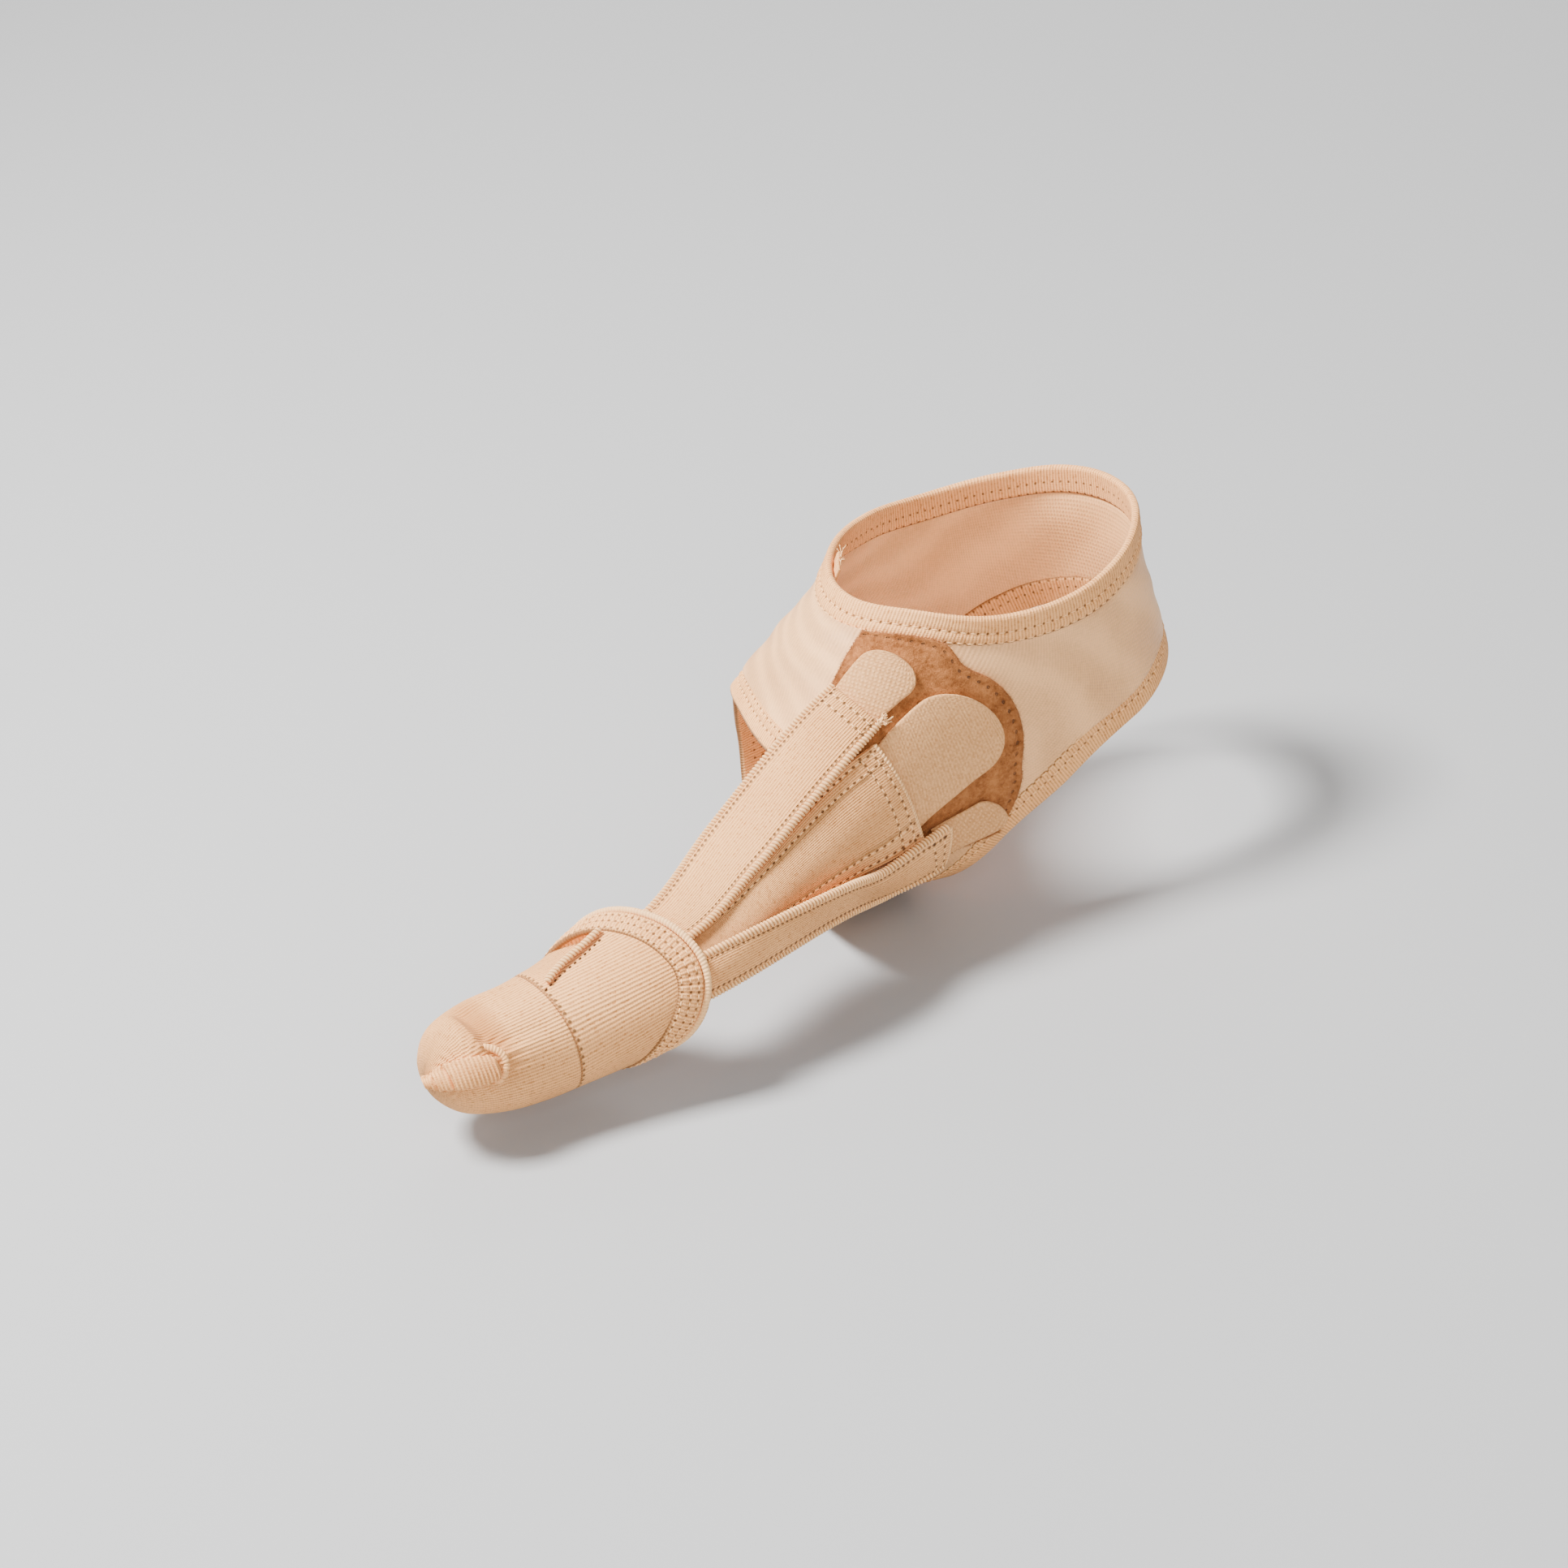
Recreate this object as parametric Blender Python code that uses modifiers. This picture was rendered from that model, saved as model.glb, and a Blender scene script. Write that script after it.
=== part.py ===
"""Bunion corrector for a right foot: ankle wrap, felt pad, three straps with hook tabs, and toe cap.

Metres, +Z up. The toes point to -X and the inner side of the foot faces -Y. The origin lies on the
sole plane below the ankle. Every cloth piece is a sheet laid over one of two forms, the ankle or the
big toe. A place on a form is a station, counted along its sections, and an angle in degrees round the
section: 0 on top, 90 on the inner side, 180 below, 270 on the outer side.
"""
import math

import bpy
import numpy as np

# Sizes of the foot that the brace is cut for
FOOT_LENGTH = 0.240
ANKLE_HEIGHT = 0.090
ANKLE_WIDTH = 0.068
TIP_REACH = 0.1875
TIP_SIDE = 0.031
TIP_LIFT = 0.0205
TOE_LENGTH = 0.0565
TOE_WIDTH = 0.031
TOE_HEIGHT = 0.029

# Cloth walls and the clearance between layers
GAP = 0.0003
WRAP_WALL = 0.0012
BINDING_WALL = 0.0022
FELT_WALL = 0.0018
TAB_WALL = 0.0012
STRAP_WALL = 0.0015
CAP_WALL = 0.0014
HEM_WALL = 0.0022
SEAM_WALL = 0.0012

# Widths of the hems and bindings, and radii of the rolled edges
TOP_BINDING_WIDTH = 0.0082
FRONT_HEM_WIDTH = 0.0075
HEEL_BINDING_WIDTH = 0.0085
CUFF_HEM_WIDTH = 0.0065
STRAP_EDGE_RADIUS = 0.0010
SIDE_EDGE_RADIUS = 0.0009
PIPING_RADIUS = 0.0011

# Extra room between the cuff's hem and the straps inside it
MOUTH_SLACK = 0.0007

# Opening for the heel: middle and half length in stations, half width in degrees
HEEL_STATION = 6.15
HEEL_HALF_LENGTH = 1.95
HEEL_HALF_ANGLE = 79.0

# Folds. The hollow in the cuff starts so many degrees beyond the overlocked edge, spans so many more,
# and deepens over a length in stations. The crease behind the tip: station, half length, angle, half width.
GUSSET_DEPTH = 0.0030
GUSSET_START = 4.0
GUSSET_SPAN = 50.0
GUSSET_FADE = 0.9
TIP_CREASE_DEPTH = 0.0008
TIP_CREASE = (2.55, 0.22, 23.0, 32.0)

# The plug that cuts the heel opening: its reach to each side of the wrap, and where it points
PLUG_REACH = 0.008
PLUG_AIM = (0.11, 0.0, -0.11)

# Sections of the ankle form. Along x: shares of FOOT_LENGTH. Along z: shares of ANKLE_HEIGHT.
# The other lengths are shares of ANKLE_WIDTH.
# top x, top z, sole x, sole z, inner half, outer half, middle y, lean of the top, slant, squareness
FOOT_SECTIONS = (
    (-0.512, 0.411, -0.529, 0.000, 0.676, 0.706, 0.000, -0.235, 0.0, 2.40),
    (-0.421, 0.478, -0.442, 0.011, 0.647, 0.691, 0.000, -0.206, 0.0, 2.40),
    (-0.342, 0.556, -0.350, 0.033, 0.588, 0.647, 0.015, -0.162, 0.0, 2.40),
    (-0.279, 0.678, -0.250, 0.056, 0.529, 0.603, 0.029, -0.118, 0.0, 2.40),
    (-0.238, 0.800, -0.150, 0.056, 0.500, 0.559, 0.029, -0.074, 0.0, 2.40),
    (-0.208, 0.911, -0.033, 0.022, 0.500, 0.515, 0.015, -0.044, 0.0, 2.35),
    (-0.179, 0.989, 0.117, 0.022, 0.500, 0.500, 0.000, -0.015, 0.0, 2.30),
    (-0.158, 1.067, 0.208, 0.222, 0.500, 0.500, 0.000, 0.000, 0.0, 2.20),
    (-0.146, 1.144, 0.200, 0.533, 0.500, 0.500, 0.000, 0.000, 0.0, 2.10),
    (-0.133, 1.233, 0.179, 0.844, 0.485, 0.485, 0.000, 0.000, 0.0, 2.10),
    (-0.121, 1.344, 0.175, 1.111, 0.456, 0.456, 0.000, 0.000, 0.0, 2.10),
)

# Sections of the toe form, from the tip to just past the mouth, in the same columns.
# Along x: shares of TOE_LENGTH from the tip. Along z: shares of TOE_HEIGHT. Across: of TOE_WIDTH.
TOE_SECTIONS = (
    (0.000, 0.020, 0.000, -0.020, 0.019, 0.019, 0.000, 0.0, 0.00, 2.0),
    (0.034, 0.207, 0.034, -0.207, 0.242, 0.242, 0.000, 0.0, 0.00, 2.0),
    (0.124, 0.379, 0.124, -0.366, 0.413, 0.413, 0.000, 0.0, 0.00, 2.1),
    (0.292, 0.476, 0.292, -0.462, 0.484, 0.484, -0.016, 0.0, 0.00, 2.2),
    (0.508, 0.521, 0.465, -0.486, 0.497, 0.497, -0.048, 0.0, 0.05, 2.2),
    (0.736, 0.617, 0.627, -0.445, 0.542, 0.542, -0.081, 0.0, 0.18, 2.2),
    (0.945, 0.734, 0.770, -0.390, 0.606, 0.606, -0.113, 0.0, 0.32, 2.2),
    (1.135, 0.845, 0.900, -0.340, 0.661, 0.661, -0.129, 0.0, 0.45, 2.2),
    (1.320, 0.955, 1.030, -0.300, 0.715, 0.715, -0.145, 0.0, 0.55, 2.2),
)

# Height of the wrap's top edge every 30 degrees, as shares of ANKLE_HEIGHT
TOP_LINE = (1.017, 1.003, 0.962, 0.964, 1.000, 1.039, 1.050, 1.039, 1.011, 1.000, 1.028, 1.044)

# Station of the wrap's front edge and of the cuff's rim, every 30 degrees
FRONT_LINE = (2.70, 2.68, 2.70, 2.72, 2.75, 2.85, 2.95, 3.10, 3.30, 3.50, 3.52, 3.08)
CUFF_RIM = (6.80, 6.82, 6.88, 6.90, 6.84, 6.78, 6.75, 6.75, 6.75, 6.75, 6.75, 6.78)

# Seam between the toe cap and the cuff: its middle station, and how far it swings below and above
CAP_SEAM = 4.45
CAP_SEAM_SWING = 0.20

# Felt pad: angle, front station, rear station
PAD_OUTLINE = (
    (19.0, 3.75, 5.70),
    (28.0, 3.75, 6.05),
    (38.0, 3.75, 6.40),
    (47.0, 3.75, 6.60),
    (55.0, 3.75, 6.42),
    (64.0, 3.75, 6.49),
    (72.0, 3.75, 6.40),
    (80.0, 3.75, 6.14),
    (88.0, 3.75, 5.75),
    (97.0, 3.75, 5.38),
    (108.0, 3.80, 5.00),
)

# Hook tabs: hidden end, start of the round tip and tip as stations, then the angle of the
# middle and the half width in degrees at the hidden end and at the tip
TABS = {
    "upper_tab": (3.95, 5.20, 5.72, 33.0, 11.5, 38.0, 11.0),
    "middle_tab": (3.85, 5.30, 6.03, 70.5, 19.5, 67.3, 14.3),
    "lower_tab": (4.20, 4.98, 5.20, 98.5, 6.8, 97.8, 6.6),
}

# Straps, one row a section from the cuff to the free end. For the upper and then the lower edge:
# station, angle, and strap layers below it
STRAPS = {
    "upper_strap": (
        ("toe", 6.30, -4.0, -1.0, 6.30, 28.0, -1.0),
        ("toe", 6.95, -4.0, -1.0, 6.95, 28.0, -1.0),
        ("foot", 1.40, 7.5, 0.2, 1.40, 32.0, 0.2),
        ("foot", 2.88, 13.0, 0.8, 2.90, 38.0, 0.9),
        ("foot", 3.65, 19.5, 0.7, 3.61, 42.0, 1.1),
        ("foot", 4.42, 25.0, 0.0, 4.43, 44.5, 0.0),
    ),
    "middle_strap": (
        ("toe", 6.30, 25.0, -2.3, 6.30, 62.0, -2.3),
        ("toe", 6.95, 25.0, -2.3, 6.95, 62.0, -2.3),
        ("foot", 2.97, 39.0, -0.9, 2.90, 86.0, -1.0),
        ("foot", 3.50, 44.0, -0.1, 3.43, 90.0, -0.1),
        ("foot", 4.05, 49.0, 0.1, 3.95, 91.0, 0.1),
    ),
    "lower_strap": (
        ("toe", 6.30, 58.0, -1.0, 6.30, 89.0, -1.0),
        ("toe", 6.95, 58.0, -1.0, 6.95, 89.0, -1.0),
        ("foot", 2.33, 74.0, 0.9, 2.57, 91.0, 0.3),
        ("foot", 3.04, 88.0, 1.0, 3.28, 102.0, 0.3),
        ("foot", 3.94, 91.0, 1.3, 3.95, 105.0, 0.6),
        ("foot", 4.42, 92.0, 0.5, 4.19, 105.0, 0.1),
    ),
}

# Overlocked edge of the cuff panel: station, angle
SIDE_EDGE = ((6.05, -9.0), (5.50, -5.0), (4.80, 1.0), (4.40, 9.0))

# Gathered seam on the tip: station, angle of the middle, half width in degrees
TIP_SEAM = ((0.55, 62.0, 16.0), (1.20, 60.0, 22.0), (2.00, 63.0, 19.0), (2.60, 67.0, 15.0), (2.82, 68.0, 8.0))

# Loose end of the top binding, inside the wrap's front: angles, height above the edge, and sizes
BINDING_END_FROM = -22.0
BINDING_END_TO = -10.0
BINDING_END_ABOVE = 0.0015
BINDING_END_WIDTH = 0.0085
BINDING_END_WALL = 0.0010

# How finely each sheet is divided
RING_STEPS = 46
TOE_STEPS = 32
WRAP_ROWS = 14

KNIT = (0.84, 0.66, 0.47)
TAPE = (0.70, 0.52, 0.37)
FELT = (0.52, 0.26, 0.12)
STITCH = (0.88, 0.70, 0.50)


def scaled(sections, along, up, across, start):
    """Turn a table of shares into metres, moved to its starting point."""
    sizes = np.array((along, up, along, up, across, across, across, across, 1.0, 1.0))
    x, y, z = start
    moves = np.array((x, z, x, z, 0.0, 0.0, y, 0.0, 0.0, 0.0))
    return np.array(sections) * sizes + moves


FORMS = {
    "foot": scaled(FOOT_SECTIONS, FOOT_LENGTH, ANKLE_HEIGHT, ANKLE_WIDTH, (0.0, 0.0, 0.0)),
    "toe": scaled(TOE_SECTIONS, TOE_LENGTH, TOE_HEIGHT, TOE_WIDTH, (-TIP_REACH, -TIP_SIDE, TIP_LIFT)),
}


def smooth(before, start, end, after, part):
    """Catmull-Rom curve between start and end."""
    slope = after - 3 * end + 3 * start - before
    bend = 2 * before - 5 * start + 4 * end - after
    return 0.5 * (2 * start + (end - before) * part + bend * part**2 + slope * part**3)


def section_at(form, station):
    """Section values at any station; just past the last section its curve runs on."""
    table = FORMS[form]
    last = len(table) - 1
    station = np.maximum(station, 0)
    row = np.clip(np.floor(station).astype(int), 0, last - 1)
    near = [table[np.clip(row + step, 0, last)] for step in (-1, 0, 1, 2)]
    return smooth(*near, (station - row)[..., None])


def around(values, angle):
    """Smooth value from a table with one entry every so many degrees round a section."""
    table = np.array(values)
    place = np.asarray(angle, float) / 360 * len(table)
    row = np.floor(place).astype(int)
    near = [table[(row + step) % len(table)] for step in (-1, 0, 1, 2)]
    return smooth(*near, place - row)


def surface(form, station, angle):
    """Point on a form."""
    station, angle = np.broadcast_arrays(np.asarray(station, float), np.asarray(angle, float))
    values = section_at(form, station)
    top_x, top_z, sole_x, sole_z, inner, outer, middle, lean, slant, square = np.moveaxis(values, -1, 0)
    turn = np.radians(angle)
    up, across = np.cos(turn), np.sin(turn)
    up = np.sign(up) * np.abs(up) ** (2 / square)
    across = np.sign(across) * np.abs(across) ** (2 / square) * np.where(across > 0, inner, outer)
    x = (top_x + sole_x) / 2 + up * (top_x - sole_x) / 2 + across * slant
    y = middle + up * lean - across
    z = (top_z + sole_z) / 2 + up * (top_z - sole_z) / 2
    return np.stack((x, y, z), -1)


def slopes(form, station, angle):
    """Change of the surface point by station and by degree."""
    small = 1e-3
    along = (surface(form, station + small, angle) - surface(form, station - small, angle)) / (2 * small)
    around_it = (surface(form, station, angle + 0.5) - surface(form, station, angle - 0.5))
    return along, around_it


def unit(vectors):
    return vectors / np.linalg.norm(vectors, axis=-1, keepdims=True)


def outward(form, station, angle):
    """Normal of a form, pointing away from the foot."""
    along, around_it = slopes(form, station, angle)
    return unit(np.cross(around_it, along))


def lifted(form, station, angle, lift):
    """Point at a height above a form."""
    station, angle = np.broadcast_arrays(np.asarray(station, float), np.asarray(angle, float))
    lift = np.broadcast_to(lift, station.shape)
    return surface(form, station, angle) + outward(form, station, angle) * lift[..., None]


def shift(form, station, angle, distance):
    """Station reached by walking a distance along the form at the same angle."""
    steps = 8
    for _ in range(steps):
        along, _unused = slopes(form, station, angle)
        station = station + distance / steps / np.linalg.norm(along, axis=-1)
    return station


def beside(form, station, angle, distance):
    """Closed line on a form, a distance to the right of another seen from outside."""
    steps = 5
    for _ in range(steps):
        points = surface(form, station, angle)
        tangent = np.roll(points, -1, 0) - np.roll(points, 1, 0)
        side = unit(np.cross(tangent, outward(form, station, angle)))
        along, around_it = slopes(form, station, angle)
        stretch_a = (along * along).sum(-1)
        stretch_b = (around_it * around_it).sum(-1)
        shear = (along * around_it).sum(-1)
        area = stretch_a * stretch_b - shear**2
        side_a = (side * along).sum(-1)
        side_b = (side * around_it).sum(-1)
        station = station + (side_a * stretch_b - side_b * shear) / area * distance / steps
        angle = angle + (side_b * stretch_a - side_a * shear) / area * distance / steps
    return station, angle


def heel_line(distance, count):
    """Closed line round the heel opening, a distance outside its free edge."""
    turn = np.linspace(0, 2 * math.pi, count, endpoint=False)
    station = HEEL_STATION + HEEL_HALF_LENGTH * np.cos(turn)
    angle = 180 - HEEL_HALF_ANGLE * np.sin(turn)
    return beside("foot", station, angle, distance)


def top_station(angle):
    """Station of the wrap's top edge."""
    heights = around(TOP_LINE, angle) * ANKLE_HEIGHT
    stations = np.linspace(5.5, len(FOOT_SECTIONS) - 1, 200)
    found = []
    for one_angle, height in zip(np.ravel(angle), np.ravel(heights)):
        found.append(np.interp(height, surface("foot", stations, one_angle)[:, 2], stations))
    return np.reshape(found, np.shape(angle))


def blended(start, end, count):
    """Rows between two lines of values."""
    part = np.linspace(0, 1, count)[:, None]
    return start * (1 - part) + end * part


def material(name, colour, roughness):
    finish = bpy.data.materials.new(name)
    finish.use_nodes = True
    shader = finish.node_tree.nodes["Principled BSDF"]
    shader.inputs["Base Color"].default_value = (*colour, 1)
    shader.inputs["Roughness"].default_value = roughness
    shader.inputs["Metallic"].default_value = 0.0
    finish.diffuse_color = (*colour, 1)
    return finish


def add_object(name, data, colour, roughness=0.85):
    piece = bpy.data.objects.new(name, data)
    data.materials.append(material(name, colour, roughness))
    MODEL.objects.link(piece)
    return piece


def grid_faces(rows, columns, loop):
    """Quads of a grid, wound so that they face away from the form."""
    faces = []
    for row in range(rows - 1):
        for column in range(columns if loop else columns - 1):
            right = (column + 1) % columns
            faces.append((row * columns + column, row * columns + right,
                          (row + 1) * columns + right, (row + 1) * columns + column))
    return faces


def cloth(name, points, wall, colour, loop=False, closed_tip=False, roughness=0.85):
    """A sheet with the given inner face, thickened outwards."""
    rows, columns = points.shape[:2]
    faces = grid_faces(rows, columns, loop)
    corners = [tuple(point) for point in points.reshape(-1, 3)]
    if closed_tip:
        corners.append(tuple(points[0].mean(0)))
        faces += [(len(corners) - 1, (column + 1) % columns, column) for column in range(columns)]
    mesh = bpy.data.meshes.new(name)
    mesh.from_pydata(corners, [], faces)
    mesh.shade_smooth()
    piece = add_object(name, mesh, colour, roughness)
    thick = piece.modifiers.new("wall", "SOLIDIFY")
    thick.thickness = wall
    thick.offset = 1.0
    thick.use_even_offset = True
    return piece


def rolled_edge(name, points, radius, colour, loop=False):
    """A round edge along a line of points."""
    curve = bpy.data.curves.new(name, "CURVE")
    curve.dimensions = "3D"
    curve.bevel_depth = radius
    curve.bevel_resolution = 2
    curve.use_fill_caps = True
    spline = curve.splines.new("POLY")
    spline.points.add(len(points) - 1)
    for place, point in zip(spline.points, points):
        place.co = (*point, 1)
    spline.use_cyclic_u = loop
    return add_object(name, curve, colour)


def ring_angles(count):
    return np.linspace(0, 360, count, endpoint=False)


def binding_lift():
    """Inner face of a folded binding, whose wall straddles the cloth that it holds."""
    return (WRAP_WALL - BINDING_WALL) / 2


def make_wrap():
    """Ankle wrap between the front hem and the top binding, open at the heel."""
    angle = ring_angles(RING_STEPS)
    front = shift("foot", around(FRONT_LINE, angle), angle, FRONT_HEM_WIDTH + GAP)
    top = shift("foot", top_station(angle), angle, -TOP_BINDING_WIDTH - GAP)
    stations = blended(front, top, WRAP_ROWS)
    wrap = cloth("ankle_wrap", lifted("foot", stations, angle[None, :], 0.0), WRAP_WALL, KNIT, loop=True)
    wrap.modifiers.new("flat faces", "TRIANGULATE")
    opening = wrap.modifiers.new("heel opening", "BOOLEAN")
    opening.solver = "EXACT"
    opening.object = make_heel_cutter()


def make_heel_cutter():
    """Plug through the wrap, as wide as the heel opening and its binding."""
    count = RING_STEPS
    station, angle = heel_line(HEEL_BINDING_WIDTH + 2 * GAP, count)
    inside = lifted("foot", station, angle, -PLUG_REACH)
    outside = lifted("foot", station, angle, PLUG_REACH)
    middle = inside.mean(0)
    corners = np.vstack((inside, outside, middle, middle + np.array(PLUG_AIM)))
    faces = []
    for one in range(count):
        other = (one + 1) % count
        faces.append((one, other, count + other))
        faces.append((one, count + other, count + one))
        faces.append((other, one, 2 * count))
        faces.append((count + one, count + other, 2 * count + 1))
    mesh = bpy.data.meshes.new("heel_cutter")
    mesh.from_pydata([tuple(corner) for corner in corners], [], faces)
    cutter = bpy.data.objects.new("heel_cutter", mesh)
    cutter.hide_render = True
    cutter.display_type = "WIRE"
    CUTTERS.objects.link(cutter)
    return cutter


def make_bindings():
    """Top binding, front hem and heel binding, each a closed band."""
    angle = ring_angles(RING_STEPS)
    top = top_station(angle)
    low = shift("foot", top, angle, -TOP_BINDING_WIDTH)
    cloth("top_binding", lifted("foot", blended(low, top, 3), angle[None, :], binding_lift()),
          BINDING_WALL, KNIT, loop=True)
    front = around(FRONT_LINE, angle)
    back = shift("foot", front, angle, FRONT_HEM_WIDTH)
    cloth("front_hem", lifted("foot", blended(front, back, 3), angle[None, :], binding_lift()),
          BINDING_WALL, KNIT, loop=True)
    lines = [heel_line(part * HEEL_BINDING_WIDTH, RING_STEPS) for part in (1.0, 0.5, 0.0)]
    station = np.stack([line[0] for line in lines])
    angle = np.stack([line[1] for line in lines])
    cloth("heel_binding", lifted("foot", station, angle, binding_lift()), BINDING_WALL, KNIT, loop=True)


def make_binding_end():
    """Loose end of the top binding, sewn inside the front."""
    angle = np.linspace(BINDING_END_FROM, BINDING_END_TO, 4)
    top = shift("foot", top_station(angle), angle, BINDING_END_ABOVE)
    low = shift("foot", top, angle, -BINDING_END_WIDTH)
    lift = binding_lift() - GAP - BINDING_END_WALL
    cloth("binding_end", lifted("foot", blended(low, top, 4), angle[None, :], lift), BINDING_END_WALL, STITCH)


def pad_limits(angle):
    """Rear station that keeps the pad clear of the top and heel bindings."""
    margin = 2 * GAP
    top = shift("foot", top_station(angle), angle, -TOP_BINDING_WIDTH - margin)
    station, line_angle = heel_line(HEEL_BINDING_WIDTH + margin, 96)
    front_half = (station < HEEL_STATION) & (line_angle < 180)
    order = np.argsort(line_angle[front_half])
    heel = np.interp(angle, line_angle[front_half][order], station[front_half][order], left=99.0)
    return np.minimum(top, heel)


def make_felt_pad():
    """Felt landing for the hook tabs."""
    table = np.array(PAD_OUTLINE)
    rows = np.linspace(0, len(table) - 1, 2 * len(table) - 1)
    place = np.arange(len(table))
    angle, front, rear = (np.interp(rows, place, table[:, column]) for column in range(3))
    rear = np.minimum(rear, pad_limits(angle))
    stations = blended(front, rear, 8)
    cloth("felt_pad", lifted("foot", stations, angle[None, :], WRAP_WALL + GAP), FELT_WALL, FELT)


def tab_lift():
    return WRAP_WALL + GAP + FELT_WALL + GAP


def make_tabs():
    """Hook tabs with round ends on the felt."""
    columns = np.linspace(-1, 1, 7)
    for name, (start, bend, tip, start_mid, start_half, tip_mid, tip_half) in TABS.items():
        straight = np.linspace(start, bend, 6)[:-1]
        turn = np.linspace(0, 0.47 * math.pi, 6)
        round_part = bend + (tip - bend) * np.sin(turn) / math.sin(turn[-1])
        station = np.concatenate((straight, round_part))
        width = np.concatenate((np.ones(5), np.cos(turn)))
        part = (station - start) / (tip - start)
        middle = start_mid + (tip_mid - start_mid) * part
        half = (start_half + (tip_half - start_half) * part) * width
        angle = middle[:, None] + half[:, None] * columns
        cloth(name, lifted("foot", station[:, None], angle, tab_lift()), TAB_WALL, TAPE)


def strap_lift(form, layers):
    """Height of a strap's inner face above its form, with so many straps below it."""
    if form == "toe":
        return -CAP_WALL - MOUTH_SLACK + layers * (STRAP_WALL + GAP)
    return tab_lift() + TAB_WALL + GAP + layers * (STRAP_WALL + GAP)


def strap_points(name, rows, columns):
    """Grid of a strap's inner face, a smooth run through its sections."""
    across = np.linspace(0, 1, columns)
    sections = []
    for form, *upper_edge_and_lower in STRAPS[name]:
        upper_edge = np.array(upper_edge_and_lower[:3])
        lower_edge = np.array(upper_edge_and_lower[3:])
        station, angle, layers = np.moveaxis(upper_edge + (lower_edge - upper_edge) * across[:, None], -1, 0)
        sections.append(lifted(form, station, angle, strap_lift(form, layers)))
    sections = np.array(sections)
    middle = sections[:, columns // 2]
    reach = np.concatenate(((0.0,), np.cumsum(np.linalg.norm(np.diff(middle, axis=0), axis=1))))
    slope = np.gradient(sections, reach, axis=0)
    place = np.linspace(0, reach[-1], rows)
    index = np.clip(np.searchsorted(reach, place, side="right") - 1, 0, len(reach) - 2)
    span = (reach[index + 1] - reach[index])[:, None, None]
    part = ((place - reach[index]) / (reach[index + 1] - reach[index]))[:, None, None]
    return ((1 + 2 * part) * (1 - part)**2 * sections[index] + part * (1 - part)**2 * span * slope[index]
            + part**2 * (3 - 2 * part) * sections[index + 1] + part**2 * (part - 1) * span * slope[index + 1])


def make_straps():
    """Three straps, two of them with rolled overlock edges."""
    rows, columns = 15, 7
    for name in STRAPS:
        inner_face = strap_points(name, rows, columns)
        cloth(name, inner_face, STRAP_WALL, KNIT)
        if name == "middle_strap":
            continue
        for edge, column, inside in (("top", 0, 1), ("low", -1, -2)):
            line = inner_face[:, column]
            along = unit(np.gradient(line, axis=0))
            sideways = line - inner_face[:, inside]
            sideways = unit(sideways - along * np.sum(sideways * along, axis=-1, keepdims=True))
            facing = unit(np.cross(inner_face[:, -1] - inner_face[:, 0], along))
            centre = line + sideways * (STRAP_EDGE_RADIUS + 2 * GAP) + facing * STRAP_WALL / 2
            rolled_edge(f"{name}_edge_{edge}", centre, STRAP_EDGE_RADIUS, STITCH)


def seam_station(angle):
    """Station of the seam between cap and cuff."""
    return CAP_SEAM - CAP_SEAM_SWING * np.cos(np.radians(angle))


def tip_crease(station, angle):
    """Depth of the crease behind the tip, on its upper side."""
    middle, half_length, middle_angle, half_width = TIP_CREASE
    across = np.clip(1 - np.abs(angle - middle_angle) / half_width, 0, 1)
    along = np.exp(-((station - middle) / half_length)**2)
    return TIP_CREASE_DEPTH * along * np.minimum(1, 3 * across)


def gusset(station, angle):
    """Depth of the hollow beside the cuff panel's overlocked edge."""
    table = np.array(SIDE_EDGE)[::-1]
    edge = np.interp(station, table[:, 0], table[:, 1])
    beyond = np.clip((edge - GUSSET_START - angle) / GUSSET_SPAN, 0, 1)
    opening = np.clip((station - table[0, 0]) / GUSSET_FADE, 0, 1)
    return GUSSET_DEPTH * np.sin(math.pi * beyond**0.6) * opening


def make_toe_cap():
    angle = np.linspace(-180, 180, TOE_STEPS, endpoint=False)
    stations = blended(np.zeros(TOE_STEPS), shift("toe", seam_station(angle), angle, -2 * GAP), 14)
    depth = CAP_WALL + tip_crease(stations, angle[None, :])
    cloth("toe_cap", lifted("toe", stations, angle[None, :], -depth), CAP_WALL, KNIT, loop=True, closed_tip=True)


def make_cuff():
    """Panel, hem and piping round the mouth of the toe pocket."""
    angle = np.linspace(-180, 180, TOE_STEPS, endpoint=False)
    rim = around(CUFF_RIM, angle)
    end, end_angle = beside("toe", rim, angle, CUFF_HEM_WIDTH + GAP)
    stations = blended(seam_station(angle), end, 7)
    angles = blended(angle, end_angle, 7)
    depth = CAP_WALL + gusset(stations, angles)
    cloth("cuff_panel", lifted("toe", stations, angles, -depth), CAP_WALL, KNIT, loop=True)
    seam, seam_angle = beside("toe", rim, angle, CUFF_HEM_WIDTH)
    hem = lifted("toe", blended(seam, rim, 3), blended(seam_angle, angle, 3), -CAP_WALL)
    cloth("cuff_hem", hem, HEM_WALL, KNIT, loop=True)
    beyond, beyond_angle = beside("toe", rim, angle, -PIPING_RADIUS - 2 * GAP)
    middle = HEM_WALL / 2 - CAP_WALL
    rolled_edge("cuff_piping", lifted("toe", beyond, beyond_angle, middle), PIPING_RADIUS, STITCH, loop=True)


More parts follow.
